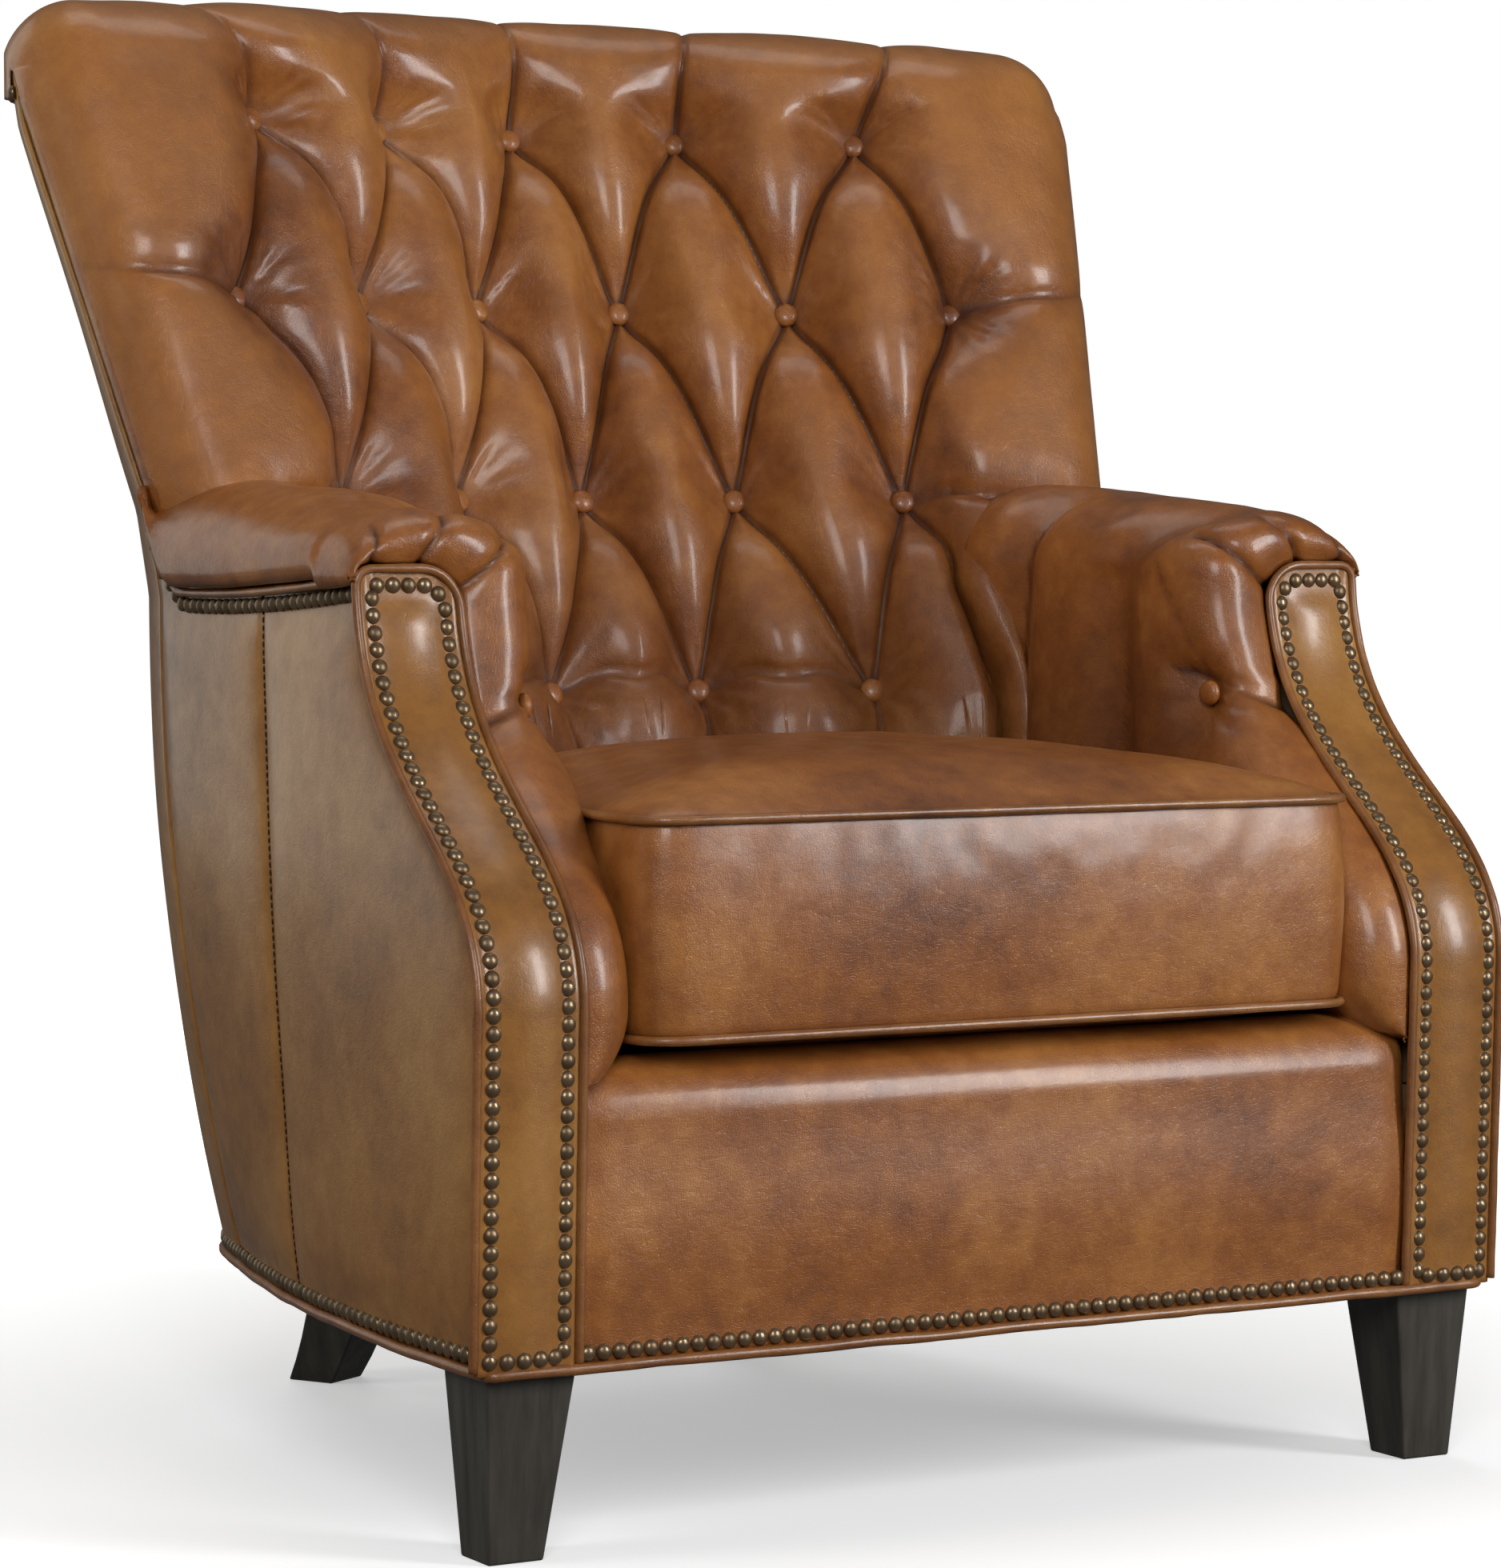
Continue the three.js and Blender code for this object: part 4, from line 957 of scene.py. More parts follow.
def panel_outline(inset, step=4.0):
    """Outline (x, z) of an arm front from the lower outer corner round to the lower inner one."""
    outer, inner = PANEL_OUTER_X - inset, PANEL_INNER_X + inset
    top = PANEL_TOP_Z - inset
    corner = max(8, PANEL_CORNER - inset)
    small = max(3, 9 - inset)
    levels = np.arange(HEM_Z + 4, top - corner, step)
    outline = [(outer, z) for z in np.arange(HEM_Z + 4, top - small, step)]
    outline += [(outer - small * (1 - math.cos(a)), top - small * (1 - math.sin(a)))
                for a in np.linspace(0, math.pi / 2, 5)]
    outline += [(inner + corner * (1 - math.sin(a)), top - corner * (1 - math.cos(a)))
                for a in np.linspace(0, math.pi / 2, 10)]
    outline += [(inner, z) for z in levels[::-1]]
    return np.array(outline)


def build_panel(side, sign):
    inner, outer = PANEL_INNER_X, PANEL_OUTER_X
    rows = []
    corner_z = PANEL_TOP_Z - PANEL_CORNER
    rounded = corner_z + PANEL_CORNER * np.sin(np.linspace(0, math.pi / 2, 9))
    for z in np.concatenate([np.arange(HEM_Z + 1, corner_z - 4, 4), rounded]):
        lift = max(0, z - corner_z) / PANEL_CORNER
        left = inner + PANEL_CORNER * (1 - math.sqrt(max(0, 1 - lift * lift)))
        right = outer - 6 * max(0, (z - 612) / 8) ** 2
        x = np.linspace(left, right, 26)
        rows.append(points_at(x, panel_y(x, z), z))
    front = np.array(rows)
    back = front.copy()
    back[..., 1] = arm_front_y(back[..., 2]) + 5
    mirror = np.array([sign, 1, 1])
    made = slab(f"{side}_arm_front", front * mirror, back * mirror, OUTSIDE, flip=sign < 0)
    finish_piece(made, "outside_leather", f"{side}_arm_panel", fill=0.4)

    edge = panel_outline(-1.5)
    line = points_at(edge[:, 0], arm_front_y(edge[:, 1]) - 1.0, edge[:, 1])
    build_welt(f"{side}_front_welt", resample(line, 4) * mirror, f"{side}_arm_panel_welt")

    row = panel_outline(9.5, 2.0)
    row = row[row[:, 1] >= NAIL_ROW_Z]
    foot = points_at(np.linspace(row[-1, 0], row[0, 0], 20)[1:-1], NAIL_ROW_Z)
    row = np.concatenate([row, foot])
    face = points_at(row[:, 0], panel_y(row[:, 0], row[:, 1]), row[:, 1])
    spots = resample(face, NAIL_SPACING, closed=True)
    slope = (arm_front_y(spots[:, 2] + 1) - arm_front_y(spots[:, 2] - 1)) / 2
    normals = points_at(0, -1, slope)
    build_nails(f"{side}_front_nail_heads", spots * mirror, normals, f"{side}_arm_front_nails")


SIDE_SEAM_Y = -65
SEAM_COLUMN = 60
STITCH_SHIFT = 0.3
STITCH_SINK = 0.3
STITCH_SIDES = 6
NAIL_PROFILE = [(NAIL_RADIUS * share, height) for share, height in
                ((0.9, -1.0), (1.0, 0.2), (0.93, 1.3), (0.76, 2.4), (0.5, 3.2), (0.24, 3.6))]


def build_nails(name, spots, normals, *nodes):
    places = []
    for spot, normal in zip(spots, normals):
        wobble = np.array([random.gauss(0, 0.05) for _ in range(3)])
        places.append((spot, np.asarray(normal) / np.linalg.norm(normal) + wobble))
    made = domes(name, places, NAIL_PROFILE, 14, BRONZE)
    finish_piece(made, "nail_bronze", *nodes)


def build_welt(name, path, *nodes, radius=WELT_RADIUS, closed=False, wave=0.12, body="chair"):
    made = tube(name, path, radius, WELTING, closed=closed, wave=wave)
    finish_piece(made, "welt_leather", *nodes, body=body)


def line_normals(spots):
    """Level normals of a line that runs anticlockwise round the chair."""
    along = np.gradient(spots, axis=0)
    normals = points_at(along[:, 1], -along[:, 0], 0)
    return normals / np.linalg.norm(normals, axis=1, keepdims=True)


def side_row_z(y):
    """Height of the nail row under the arm roll: it sags, then climbs at the wing."""
    share = np.clip((y + 228) / 320, 0, 1)
    climb = np.clip((y - 66) / 46, 0, 1)
    return 606 - 12 * np.sin(np.pi * share / 1.6) + 50 * climb ** 1.7


def build_side_trim(side, sign):
    mirror = np.array([sign, 1, 1])
    y = np.linspace(-222, SIDE_REAR_Y - 4, 90)
    z = side_row_z(y)
    face = points_at(outside_arm_x(y, z) + 1.5, y, z)
    spots = resample(face, NAIL_SPACING)
    normals = np.tile([1.0, 0, 0], (len(spots), 1))
    build_nails(
        f"{side}_side_nail_heads", spots * mirror, normals * mirror, f"{side}_arm_side_nails")
    above = face + (3.5, 0, 9.0)
    build_welt(f"{side}_roll_welt", resample(above, 4) * mirror)


def build_outside_arm(side, sign):
    rows = []
    painted_shade = []
    for z in np.concatenate([np.arange(HEM_Z + 2, 596, 5), [598, 604, 612]]):
        front = float(arm_front_y(z)) + 6
        rear = SIDE_REAR_Y + 1
        y = np.concatenate([np.linspace(front, SIDE_SEAM_Y, SEAM_COLUMN),
                            np.linspace(SIDE_SEAM_Y, rear, 36)[1:]])
        gap = np.min([np.abs(y - edge) for edge in (SIDE_SEAM_Y, front, rear)], axis=0)
        padded = smoothstep(z, HEM_Z, HEM_Z + 50) * (1 - smoothstep(z, 560, 600))
        lift = 4.5 * (1 - np.exp(-gap / 16)) * padded
        groove = np.exp(-(np.abs(y - SIDE_SEAM_Y) / 1.6) ** 2)
        rows.append(points_at(outside_arm_x(y, z) + lift - 1.4 * groove, y, z))
        # Painted shade along the seam's groove.
        painted_shade.append(0.55 * groove)
    outer = np.array(rows)
    outer[..., 0] += 0.9 * noise_field(outer, 110, 7 + sign)
    inner = outer - (3.4, 0, 0)
    mirror = np.array([sign, 1, 1])
    made = slab(f"{side}_outside_cover", outer * mirror, inner * mirror, OUTSIDE, flip=sign < 0)
    paint(made, np.array(painted_shade))
    finish_piece(made, "outside_leather", f"{side}_outside_arm")
    beside_seam = lerp(outer[:, SEAM_COLUMN - 1], outer[:, SEAM_COLUMN], STITCH_SHIFT)
    line = beside_seam + (STITCH_SINK * STITCH_RADIUS, 0, 0)
    build_stitches(f"{side}_seam_stitches", line, mirror)


def build_stitches(name, line, mirror):
    """Short threads sewn along a line that climbs, each a spindle drawn in at its ends."""
    points, faces = [], []
    shares = np.linspace(0, 1, 5)
    for z in np.arange(line[0, 2] + STITCH_PITCH, line[-1, 2] - STITCH_PITCH, STITCH_PITCH):
        start = len(points)
        for share in shares:
            radius = STITCH_RADIUS * (0.3 + 0.7 * math.sin(math.pi * share))
            ring_z = z + STITCH_LENGTH * (share - 0.5)
            middle = np.array([np.interp(ring_z, line[:, 2], line[:, axis]) for axis in (0, 1)])
            for angle in np.linspace(0, 2 * math.pi, STITCH_SIDES, endpoint=False):
                reach = radius * np.array([math.cos(angle), math.sin(angle)])
                points.append((*(middle + reach), ring_z))
        faces += [tuple(face) for face in quads(len(shares), STITCH_SIDES, start, closed_cols=True)]
        last = start + STITCH_SIDES * (len(shares) - 1)
        faces.append(tuple(range(start, start + STITCH_SIDES))[::-1])
        faces.append(tuple(range(last, last + STITCH_SIDES)))
    if mirror[0] < 0:
        faces = [face[::-1] for face in faces]
    made = new_object(name, np.array(points) * mirror, faces, THREAD)
    finish_piece(made, "outside_leather")


# ------------------------------------------------------------------ outside back and front rail

def back_outline(z, count):
    """Points (x, y) of the outside back at height z, from seam to seam."""
    half = outside_back_curve(z, np.linspace(0, 1, count))
    other = half[:-1][::-1] * (-1, 1)
    return np.concatenate([half, other])


def build_outside_back():
    levels = np.linspace(HEM_Z + 2, COVER_TOP_Z, 120)
    outer = np.array([points_at(*back_outline(z, 64).T, z) for z in levels])
    normal = grid_normals(outer)
    middle = outer.shape[1] // 2
    if normal[len(levels) // 2, middle, 1] < 0:
        normal = -normal
    columns = np.arange(outer.shape[1])
    edge = np.minimum(columns, columns[::-1]) / 12
    lift = 3.0 * (1 - np.exp(-edge))[None, :] + 1.2 * noise_field(outer, 160, 9)
    outer = outer + normal * lift[..., None]
    inner = outer - normal * 3.2
    made = slab("outside_back_cover", outer, inner, OUTSIDE)
    finish_piece(made, "outside_leather", "outside_back")

    line = back_outline(TOP_ROW_Z, 90)[2:-2]
    spots = resample(points_at(*line.T, TOP_ROW_Z), NAIL_SPACING)
    normals = line_normals(spots)
    build_nails("rear_top_nail_heads", spots + 2.5 * normals, normals)


def build_front_rail():
    half = PANEL_INNER_X - 2
    lines = []
    for z in np.arange(HEM_Z + 2, RAIL_SPRING_Z, 6):
        share = (z - HEM_Z) / (RAIL_SPRING_Z - HEM_Z)
        lines.append((FRONT_Y - RAIL_PUFF * math.sin(math.pi * share) ** 2, z))
    for angle in np.linspace(0, math.pi / 2, 14):
        lines.append((FRONT_Y + RAIL_RADIUS * (1 - math.cos(angle)),
                      RAIL_SPRING_Z + RAIL_RADIUS * math.sin(angle)))
    crest_y = FRONT_Y + RAIL_RADIUS
    for y in np.linspace(crest_y, RAIL_REAR_Y, 14)[1:]:
        share = (y - crest_y) / (RAIL_REAR_Y - crest_y)
        lines.append((y, RAIL_SPRING_Z + RAIL_RADIUS - RAIL_FALL * share * share))
    x = np.linspace(-half, half, 130)
    grid = np.array([points_at(x, y, z) for y, z in lines])
    ends = 1 - smoothstep(np.abs(x), half - 22, half)
    normal = grid_normals(grid)
    if normal[5, 60, 1] > 0:
        normal = -normal
    lift = (3.0 * ends - 3.0)[None, :] + 1.0 * noise_field(grid, 130, 13)
    outer = grid + normal * lift[..., None]
    inner = outer - normal * 8
    made = slab("front_rail_leather", outer, inner, LEATHER)
    finish_piece(made, "leather", "front_rail_cover", fill=0.4)


def base_path(z, outset):
    """Closed line round the foot of the covers, anticlockwise from the sitter's left front."""
    front = float(arm_front_y(z))
    y = np.linspace(front + 4, SIDE_REAR_Y, 60)
    left = points_at(outside_arm_x(y, z) + outset, y)
    rear = back_outline(z, 50) * (1 + outset / 320, 1 + outset / 320)
    right = left[::-1] * (-1, 1)
    x = np.linspace(-PANEL_OUTER_X + 12, PANEL_OUTER_X - 12, 40)
    front_line = points_at(x, front - outset)
    return np.concatenate([left, rear[1:-1], right, front_line])


def build_base_trim():
    line = base_path(HEM_Z + 2, 2.5)
    path = resample(points_at(*line.T, HEM_Z + 1.0), 5, closed=True)
    path[:, 2] += [1.2 * noise.noise(Vector(point / 60)) for point in path]
    build_welt("base_welting", path, "base_welt", radius=WELT_RADIUS + 0.6, closed=True)

    x = np.linspace(-PANEL_INNER_X + 8, PANEL_INNER_X - 8, 57)
    spots = points_at(x, FRONT_Y - 0.5, NAIL_ROW_Z)
    facing = np.tile([0, -1.0, 0], (len(x), 1))
    build_nails("front_rail_nail_heads", spots, facing, "front_base_nails")

    y = np.linspace(float(arm_front_y(NAIL_ROW_Z)) + 10, SIDE_REAR_Y, 60)
    left = points_at(outside_arm_x(y, NAIL_ROW_Z) + 0.8, y)
    line = np.concatenate([left, back_outline(NAIL_ROW_Z, 50)[1:-1], left[::-1] * (-1, 1)])
    spots = resample(points_at(*line.T, NAIL_ROW_Z), NAIL_SPACING)
    build_nails("rear_rail_nail_heads", spots, line_normals(spots), "rear_base_nails")


# ------------------------------------------------------------------ seat cushion

def spread(path, count):
    """count points evenly along a polyline, without its last one."""
    path = np.asarray(path, float)
    run = np.concatenate([[0], np.cumsum(np.linalg.norm(np.diff(path, axis=0), axis=1))])
    wanted = np.linspace(0, run[-1], count, endpoint=False)
    return np.stack([np.interp(wanted, run, path[:, k]) for k in range(2)], axis=1)


def cushion_rear_y(x, inset=0.0):
    """The cushion's rear follows the hollow of the back."""
    return CUSHION_REAR - inset - BARREL_DEPTH * np.sin(np.pi / 2 * np.abs(x) / BARREL_REACH) ** 2


def cushion_outline(inset):
    """Closed outline (x, y) of the cushion drawn in by inset, from the middle of its rear."""
    half = CUSHION_HALF - inset
    front = CUSHION_FRONT + inset
    corner = min(CUSHION_CORNER, half / 2)
    share = np.linspace(0, 1, 9)[:, None]

    def bend(start, middle, end):
        a, b, c = (np.asarray(p, float) for p in (start, middle, end))
        return (1 - share) ** 2 * a + 2 * share * (1 - share) * b + share ** 2 * c

    x = np.linspace(0, half - corner, 30)
    rear = points_at(x, cushion_rear_y(x, inset))
    side_y = float(cushion_rear_y(half, inset))
    rear_bend = bend(rear[-1], (half, side_y), (half, side_y - corner))
    front_bend = bend((half, front + corner), (half, front), (half - corner, front))
    pieces = [
        spread(np.concatenate([rear, rear_bend[1:5]]), 30),
        spread(np.concatenate([rear_bend[4:], front_bend[:5]]), 42),
        spread(np.concatenate([front_bend[4:], [[0, front]]]), 30),
    ]
    side = np.concatenate(pieces)
    line = np.concatenate([side, [[0, front]], side[:0:-1] * (-1, 1)])
    line[:, 0] *= 1 + CUSHION_FLARE * (1 - smoothstep(line[:, 1], -350, -240))
    return line


def ladder(start, count):
    """Faces across a ring that is the same on both sides of its first point."""
    faces = [(start, start + 1, start + count - 1)]
    for k in range(1, count // 2 - 1):
        faces.append((start + k, start + k + 1, start + count - k - 1, start + count - k))
    faces.append((start + count // 2 - 1, start + count // 2, start + count // 2 + 1))
    return faces


def cushion_rings(inward, bottom, top, bulge):
    """Rings of the cushion from the middle of its underside over the seams to its crown."""
    rings = []

    def ring(inset, z):
        rings.append(points_at(*cushion_outline(inward + inset).T, z))

    low_seam, top_seam = CUSHION_LOW_SEAM, CUSHION_TOP_SEAM - inward
    for inset in np.linspace(236, 10, 24):
        ring(inset, bottom + (low_seam - bottom) * max(0, 1 - inset / 110) ** 1.2)
    ring(3, low_seam)
    for share in np.linspace(0, 1, 17)[1:-1]:
        ring(3 - bulge * math.sin(math.pi * share) ** 0.8, lerp(low_seam, top_seam, share))
    ring(3, top_seam)
    for inset in np.linspace(10, 236, 26):
        ring(inset, top_seam + (top - top_seam) * math.sin(math.pi / 2 * min(1, inset / 150)) ** 0.75)
    return rings


def read_vertices(mesh, what="co"):
    """Places or normals of a mesh's vertices, one row each."""
    values = np.empty(len(mesh.vertices) * 3)
    mesh.vertices.foreach_get(what, values)
    return values.reshape(-1, 3)


def inflate(made, pinned, cap, floor_z):
    """Blows the closed leather up from within, held at its seams, and keeps the settled shape."""
    mesh = made.data
    start = read_vertices(mesh)
    seams = made.vertex_groups.new(name="seams")
    seams.add([int(index) for index in pinned], 1.0, "REPLACE")
    cloth = made.modifiers.new("Cloth", "CLOTH")
    cloth.settings.vertex_group_mass = "seams"
    cloth.settings.use_pressure = True
    cloth.settings.uniform_pressure_force = 4.0
    cloth.settings.effector_weights.gravity = 0.0
    cloth.settings.tension_stiffness = 40
    cloth.settings.compression_stiffness = 40
    cloth.settings.bending_stiffness = 4
    scene = bpy.context.scene
    for frame_number in range(1, 21):
        scene.frame_set(frame_number)
    settled = made.evaluated_get(bpy.context.evaluated_depsgraph_get())
    step = read_vertices(settled.data) - start
    made.modifiers.remove(cloth)
    scene.frame_set(1)
    length = np.linalg.norm(step, axis=1, keepdims=True)
    limit = cap * MM
    step *= limit * np.tanh(length / limit) / np.maximum(length, 1e-9)
    final = start + step
    final[:, 2] = np.maximum(final[:, 2], floor_z * MM)
    mesh.vertices.foreach_set("co", final.ravel())
    mesh.update()


def subdivide(made):
    """Applies one level of a subdivision surface, so that the piece keeps plain mesh data."""
    smooth = made.modifiers.new("Subdivision", "SUBSURF")
    smooth.levels = 1
    smooth.render_levels = 1
    settled = made.evaluated_get(bpy.context.evaluated_depsgraph_get())
    finer = bpy.data.meshes.new_from_object(settled)
    made.modifiers.clear()
    made.data = finer


def crumple(made):
    """Ripples the cushion's leather, and paints shade on it along the seams and where the arms and
    back overhang it.
    """
    mesh = made.data
    place = read_vertices(mesh)
    ripple = 0.9 * noise_field(place / MM, 70, 21) + 0.35 * noise_field(place / MM, 22, 22)
    free = (place[:, 2] > (CUSHION_BOTTOM + 4) * MM)[:, None]
    place = place + read_vertices(mesh, "normal") * ripple[:, None] * MM * free
    mesh.vertices.foreach_set("co", place.ravel())
    mesh.update()
    x, y, z = place.T / MM
    # Painted shade along the seams and near the arms and back.
    levels = (CUSHION_TOP_SEAM, CUSHION_LOW_SEAM)
    seams = np.max([np.exp(-((z - seam) / 5) ** 2) for seam in levels], axis=0)
    under_arm = smoothstep(np.abs(x), 215, 252) * smoothstep(y, -330, -220)
    under_back = smoothstep(y, -10, 70)
    paint(made, np.maximum(0.4 * seams, 0.35 * np.maximum(under_arm, under_back)))


def build_cushion():
    """Leather box cushion: the panels between its piped seams are blown up by simulation."""
    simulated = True
    bulge = 4 if simulated else 12
    rings = cushion_rings(0, CUSHION_BOTTOM, CUSHION_CROWN, bulge)
    count = len(rings[0])
    points = np.concatenate(rings)
    faces = list(quads(len(rings), count, closed_cols=True))
    faces += [face[::-1] for face in ladder(0, count)]
    faces += ladder((len(rings) - 1) * count, count)
    faces = [face[::-1] for face in faces]
    made = new_object("seat_cushion_leather", points, faces, LEATHER)
    if simulated:
        levels = points[:, 2]
        seam = np.isclose(levels, CUSHION_TOP_SEAM) | np.isclose(levels, CUSHION_LOW_SEAM)
        inflate(made, np.flatnonzero(seam | (levels <= CUSHION_BOTTOM)), 12, CUSHION_BOTTOM)
    subdivide(made)
    crumple(made)
    finish_piece(made, "leather", "cushion_cover", body="seat_cushion", fill=0.8)

    for name, z in (("cushion_top_welt", CUSHION_TOP_SEAM), ("cushion_low_welt", CUSHION_LOW_SEAM)):
        path = resample(points_at(*cushion_outline(1.0).T, z), 6, closed=True)
        build_welt(name, path, closed=True, wave=0.1, body="seat_cushion")

    core_rings = cushion_rings(15, CUSHION_BOTTOM + 9, CUSHION_CROWN - 11, 2)
    core = new_object("seat_cushion_foam", np.concatenate(core_rings), faces, FOAM)
    finish_piece(core, "foam", "cushion_core", body="seat_cushion", fill=1.0)
    build_zipper(made)


def build_zipper(cushion):
    """Zip let into the rear of the cushion: tape, two rows of teeth and a slider."""
    tree = cushion_surface(cushion)

    def on_rear(x, z, proud):
        hit = tree.ray_cast(Vector((x * MM, 1.0, z * MM)), Vector((0, -1, 0)))[0]
        return (x, hit.y / MM - Y_SHIFT + proud, z)

    x = np.linspace(-ZIP_HALF, ZIP_HALF, 61)
    levels = np.linspace(ZIP_Z - ZIP_TAPE / 2, ZIP_Z + ZIP_TAPE / 2, 5)
    outer = np.array([[on_rear(a, z, 0.9 - 0.25 * abs(z - ZIP_Z) / ZIP_TAPE) for a in x]
                      for z in levels])
    inner = outer - (0, 2.5, 0)
    tape = slab("cushion_zip_tape", outer, inner, CLOTH, flip=True)
    finish_piece(tape, "black_cloth", "cushion_zipper", body="seat_cushion")

    places = []
    for index, a in enumerate(np.arange(-ZIP_HALF + 8, ZIP_HALF - 8, 1.6)):
        side = 0.9 if index % 2 else -0.9
        places.append((np.array(on_rear(a, ZIP_Z + side, 0.6)), np.array([0, 1.0, 0])))
    teeth = domes("cushion_zip_teeth", places, [(1.5, -0.3), (1.5, 0.8), (1.0, 1.2)], 6, BRONZE)
    finish_piece(teeth, "nail_bronze", body="seat_cushion")

    start = -ZIP_HALF + 9
    pull_x = np.linspace(start - 5, start + 24, 15)
    width = np.interp(pull_x - start, [-5, 4, 6, 20, 24], [3, 4, 1.8, 3.2, 1.2])
    pull_y = [on_rear(a, ZIP_Z, 3.2)[1] for a in pull_x]
    shape = np.array([points_at(pull_x, pull_y, ZIP_Z + k * width) for k in (-1, -0.5, 0, 0.5, 1)])
    slider = slab("cushion_zip_slider", shape, shape - (0, 1.6, 0), BRONZE, flip=True)
    finish_piece(slider, "nail_bronze", body="seat_cushion")


def cushion_surface(made):
    vertices = [vertex.co.copy() for vertex in made.data.vertices]
    return BVHTree.FromPolygons(vertices, [tuple(face.vertices) for face in made.data.polygons])


# ------------------------------------------------------------------ deck, dust cover and legs

def build_deck():
    """Padded cloth platform under the cushion, sewn down inside its edge, over four springs."""
    x = np.linspace(-DECK_HALF, DECK_HALF, 108)
    y = np.linspace(DECK_FRONT, DECK_REAR, 88)
    grid_x, grid_y = np.meshgrid(x, y)
    edge = np.minimum(DECK_HALF - np.abs(grid_x), np.minimum(grid_y - DECK_FRONT, DECK_REAR - grid_y))
    crown = 3.5 * round_rise(edge, 20)
    seam = np.exp(-((edge - DECK_SEAM_INSET) / 4) ** 2)
    ridges = 0.8 * np.cos(2 * np.pi * (grid_x - 54) / 108) * smoothstep(edge, 40, 90)
    top = points_at(grid_x, grid_y, DECK_TOP - 4 + crown - 2.5 * seam + ridges)
    top[..., 2] += 0.5 * noise_field(top, 60, 31)
    low = top.copy()
    low[..., 2] = DECK_BOTTOM
    made = slab("seat_deck_pad", top, low, CLOTH)
    finish_piece(made, "black_cloth", "seat_deck", fill=0.5)


def build_dust_cover():
    """Thin black cloth stapled under the seat rails; it sags a little between them."""
    half = np.array(DUST_OUTLINE, float)
    outline = np.concatenate([half, half[::-1] * (-1, 1)])
    line = resample(points_at(*outline.T, 0), 9, closed=True)[:, :2]
    middle = np.array([0.0, -90.0])
    shares = np.linspace(1, 0.04, 22)
    rings = []
    for share in shares:
        ring = middle + (line - middle) * share
        z = DUST_Z - DUST_SAG * (1 - share ** 2)
        rings.append(points_at(*ring.T, z))
    low = np.array(rings)
    low[..., 2] += 0.5 * noise_field(low, 45, 33) * (1 - shares[:, None] ** 8)
    high = low + (0, 0, 0.8)
    count = low.shape[1]
    total = low.shape[0] * count
    cloth = quads(len(rings), count, closed_cols=True)
    faces = [tuple(face[::-1]) for face in cloth] + [tuple(face + total) for face in cloth]
    for k in range(count):
        after = (k + 1) % count
        faces.append((after + total, k + total, k, after))
    centre = tuple(range((len(rings) - 1) * count, total))
    faces.append(centre[::-1])
    faces.append(tuple(k + total for k in centre))
    points = np.concatenate([low.reshape(-1, 3), high.reshape(-1, 3)])
    made = new_object("dust_cover_cloth", points, faces, CLOTH)
    finish_piece(made, "black_cloth", "dust_cover")


def build_legs():
    """Square tapered legs with their long edges eased."""
    for name in ("left_front_leg", "right_front_leg", "left_rear_leg", "right_rear_leg"):
        shape = bmesh.new()
        shape.from_mesh(frame["nodes"][name].data)
        bmesh.ops.remove_doubles(shape, verts=shape.verts, dist=0.00001)
        bmesh.ops.dissolve_limit(
            shape, angle_limit=math.radians(2), verts=shape.verts, edges=shape.edges)
        edges = [edge for edge in shape.edges
                 if len(edge.link_faces) == 2
                 and edge.calc_face_angle(0) > math.radians(LEG_EDGE_ANGLE)
                 and edge.calc_length() > LEG_EDGE_LENGTH * MM]
        bmesh.ops.bevel(
            shape, geom=edges, offset=LEG_EASE * MM, segments=3, profile=0.5, affect="EDGES")
        mesh = bpy.data.meshes.new(name + "_turned")
        shape.to_mesh(mesh)
        shape.free()
        mesh.materials.append(ESPRESSO)
        made = bpy.data.objects.new(name + "_wood", mesh)
        bpy.context.scene.collection.objects.link(made)
        finish_piece(made, "espresso_wood", name)


# ------------------------------------------------------------------ the rest of the frame

CAD_MATERIALS = {
    "espresso_wood": ESPRESSO, "hardwood": HARDWOOD, "spring_steel": STEEL, "black_cloth": CLOTH,
    "jute_webbing": WEBBING, "foam": FOAM, "leather": LEATHER, "outside_leather": OUTSIDE,
    "welt_leather": WELTING, "nail_bronze": BRONZE,
}


def finish_cad_nodes():
    """Gives the frame's own nodes the finish of their slot in the record."""
    for entry in frame["record"]["materials"]:
        for name in entry.get("applies_to", []):
            node = frame["nodes"].get(name)
            if node is not None:
                node.data.materials.clear()
                node.data.materials.append(CAD_MATERIALS[entry["slot"]])


# ------------------------------------------------------------------ camera, light and floor

WHITE = (1, 1, 1)
WORLD_STRENGTH = 0.075
FLOOR_REACH = 30
DOME_RADIUS = 28
DOME_RINGS = 14
DOME_SIDES = 48
CAMERA_PLACE = (-1.730, -3.0804, 0.643)
CAMERA_TILT = 87.08
CAMERA_TURN = -29.74
CAMERA_LENS = 112.1
LIGHT_AIM = (0, 0, 0.5)
# Name, place in metres, size, watts, colour, and whether glossy surfaces show it.
LIGHTS = (
    ("key_light", (-1.7, -3.0, 2.0), (1.2, 1.5), 48, WHITE, True),
    ("right_light", (1.8, -2.9, 1.5), (0.7, 1.8), 62, WHITE, True),
    ("side_light", (-2.9, 0.2, 1.5), (0.9, 1.7), 22, WHITE, False),
    ("top_light", (0.2, 0.4, 2.8), (2.0, 0.8), 8, WHITE, True),
    ("rear_light", (-1.5, 2.8, 1.4), (1.6, 2.8), 11, (0.93, 1.0, 0.96), True),
    ("rear_fill_light", (1.0, 3.0, 1.6), (1.6, 1.6), 26, WHITE, False),
)


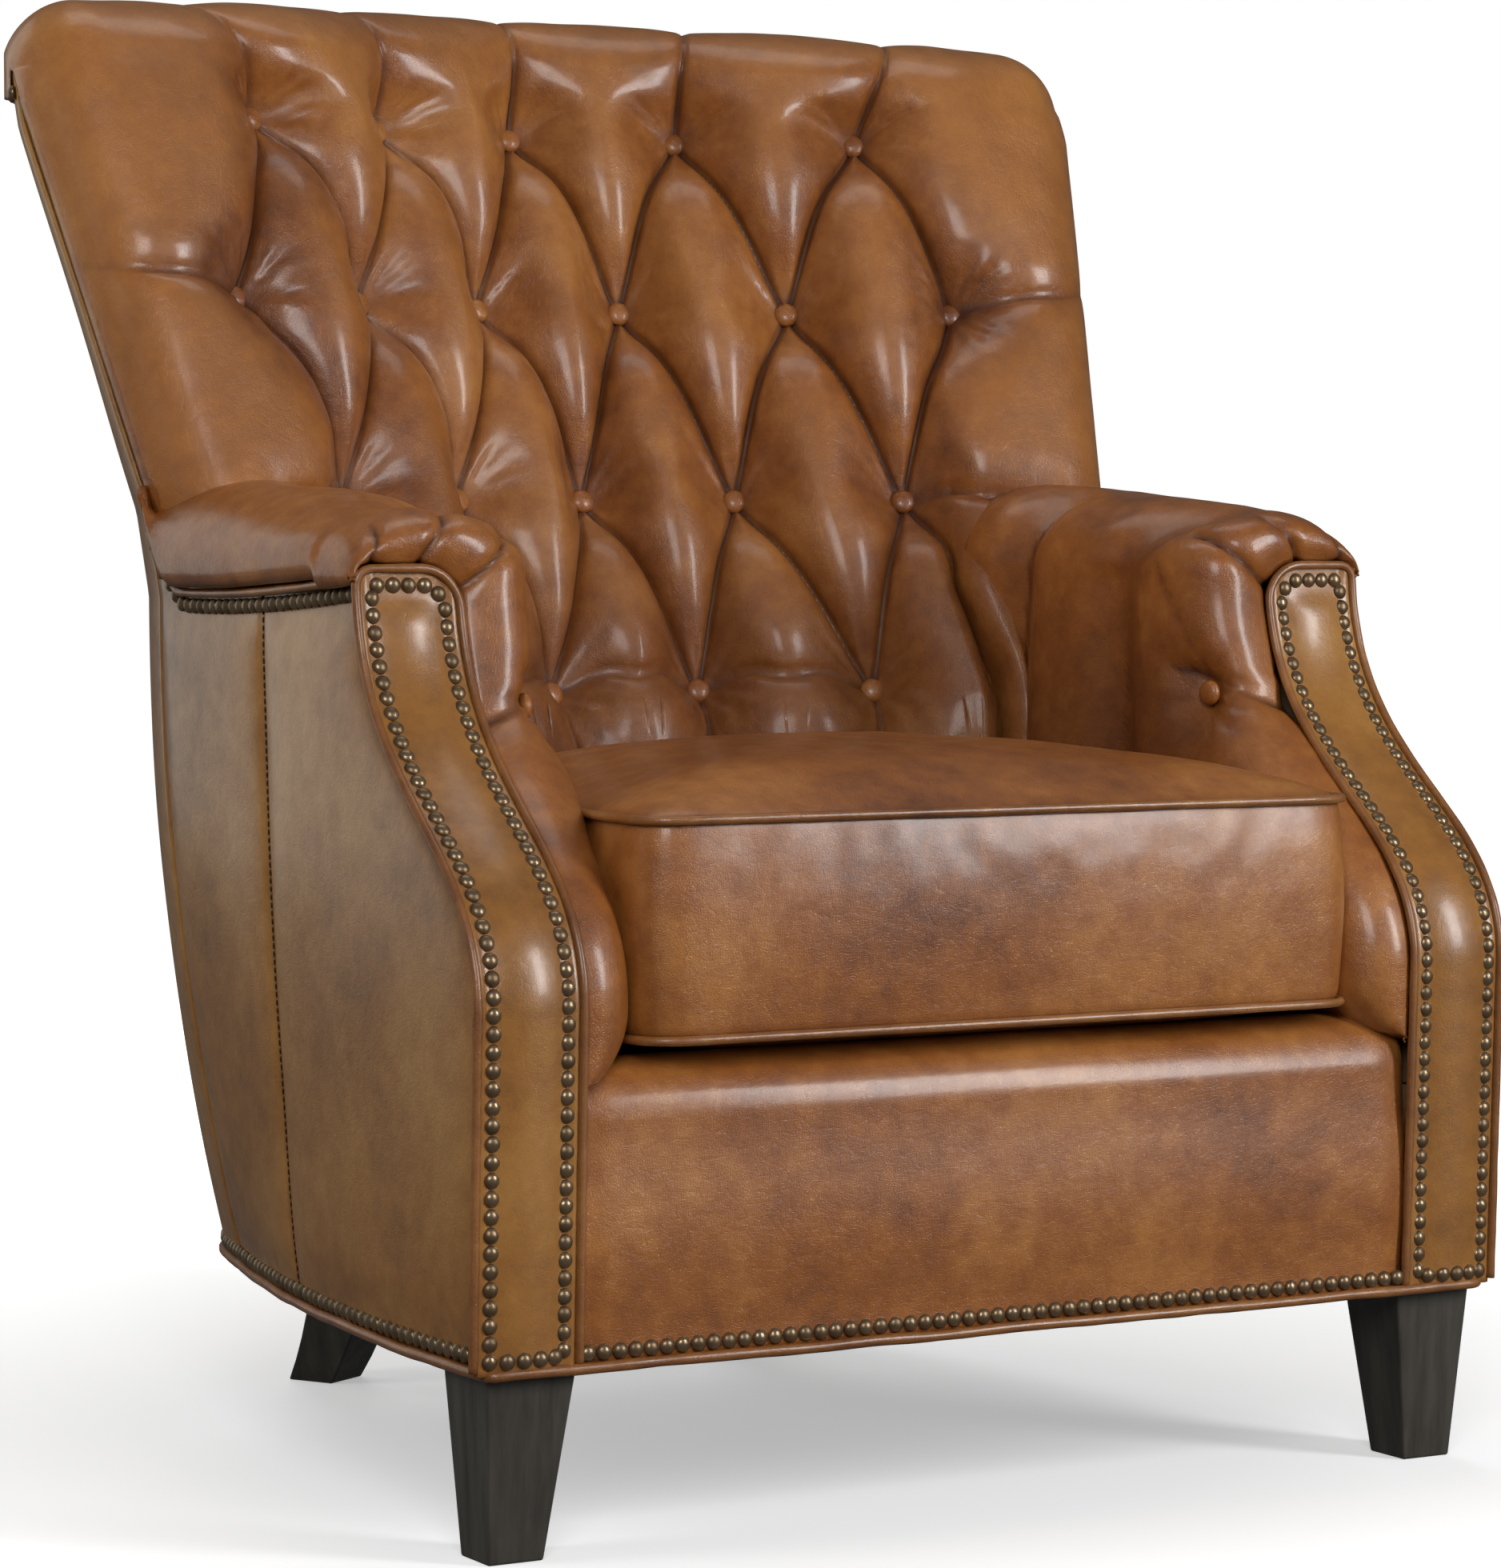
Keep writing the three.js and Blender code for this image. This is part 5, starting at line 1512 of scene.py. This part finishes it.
def add_area(name, place, size, power, colour, glossy):
    data = bpy.data.lights.new(name, "AREA")
    data.shape = "RECTANGLE"
    data.size, data.size_y = size
    data.energy = power
    data.color = colour
    made = bpy.data.objects.new(name, data)
    made.location = place
    made.rotation_euler = (Vector(LIGHT_AIM) - Vector(place)).to_track_quat("-Z", "Y").to_euler()
    made.visible_camera = False
    made.visible_glossy = glossy
    bpy.context.scene.collection.objects.link(made)


def build_studio():
    world = bpy.data.worlds.new("studio")
    world.use_nodes = True
    world.node_tree.nodes["Background"].inputs["Color"].default_value = (1, 1, 1, 1)
    world.node_tree.nodes["Background"].inputs["Strength"].default_value = WORLD_STRENGTH
    bpy.context.scene.world = world
    bpy.context.scene.view_settings.view_transform = "Standard"
    for light in LIGHTS:
        add_area(*light)

    reach = FLOOR_REACH / MM
    corners = [(-reach, -reach, 0), (reach, -reach, 0), (reach, reach, 0), (-reach, reach, 0)]
    floor = new_object("floor", corners, [(0, 1, 2, 3)], floor_material(), smooth=False)
    floor.visible_diffuse = False
    floor.visible_glossy = False
    build_backdrop()


def floor_material():
    """Pale floor with a painted glow that brightens away from the chair, so that it has no horizon.
    """
    made, tree, shader = node_material("pale_floor")
    shader.inputs["Base Color"].default_value = (0.82, 0.82, 0.82, 1)
    shader.inputs["Roughness"].default_value = 0.9
    shader.inputs["Specular IOR Level"].default_value = 0.1
    where = tree.nodes.new("ShaderNodeTexCoord")
    length = tree.nodes.new("ShaderNodeVectorMath")
    length.operation = "LENGTH"
    tree.links.new(where.outputs["Object"], length.inputs[0])
    # Painted glow: emission that is dimmer near the chair and full white further out.
    away = arithmetic(tree, "DIVIDE", length.outputs["Value"], 4.0)
    glow = ramp(tree, away, [(0.1, (0.42,)), (0.5, (1.0,))])
    tree.links.new(glow, shader.inputs["Emission Color"])
    shader.inputs["Emission Strength"].default_value = 1.0
    return made


def build_backdrop():
    """White dome that only the camera sees; the light comes from the lamps and the world."""
    angles = np.linspace(0, 2 * math.pi, DOME_SIDES, endpoint=False)
    radius = DOME_RADIUS / MM
    points = []
    for rise in np.linspace(-0.02, math.pi / 2 - 0.02, DOME_RINGS):
        for angle in angles:
            level = radius * math.cos(rise)
            points.append((level * math.cos(angle), level * math.sin(angle), radius * math.sin(rise)))
    made, _, shader = node_material("white_backdrop")
    shader.inputs["Base Color"].default_value = (0, 0, 0, 1)
    shader.inputs["Specular IOR Level"].default_value = 0
    shader.inputs["Emission Color"].default_value = (1, 1, 1, 1)
    shader.inputs["Emission Strength"].default_value = 1.0
    last_ring = (DOME_RINGS - 1) * DOME_SIDES
    faces = list(quads(DOME_RINGS, DOME_SIDES, closed_cols=True))
    faces.append(tuple(last_ring + k for k in range(DOME_SIDES)))
    dome = new_object("backdrop", points, faces, made)
    dome.visible_diffuse = False
    dome.visible_glossy = False
    dome.visible_shadow = False
    dome.visible_transmission = False
    return dome


def build_camera():
    data = bpy.data.cameras.new("camera")
    data.sensor_width = 36
    data.lens = CAMERA_LENS
    camera = bpy.data.objects.new("camera", data)
    camera.location = CAMERA_PLACE
    camera.rotation_euler = (math.radians(CAMERA_TILT), 0, math.radians(CAMERA_TURN))
    bpy.context.scene.collection.objects.link(camera)
    bpy.context.scene.camera = camera


build_camera()
finish_cad_nodes()
build_inside_back()
build_buttons()
for side_name, direction in (("left", 1), ("right", -1)):
    build_arm(side_name, direction)
    build_panel(side_name, direction)
    build_side_trim(side_name, direction)
    build_outside_arm(side_name, direction)
build_outside_back()
build_front_rail()
build_base_trim()
build_cushion()
build_deck()
build_dust_cover()
build_legs()
build_studio()
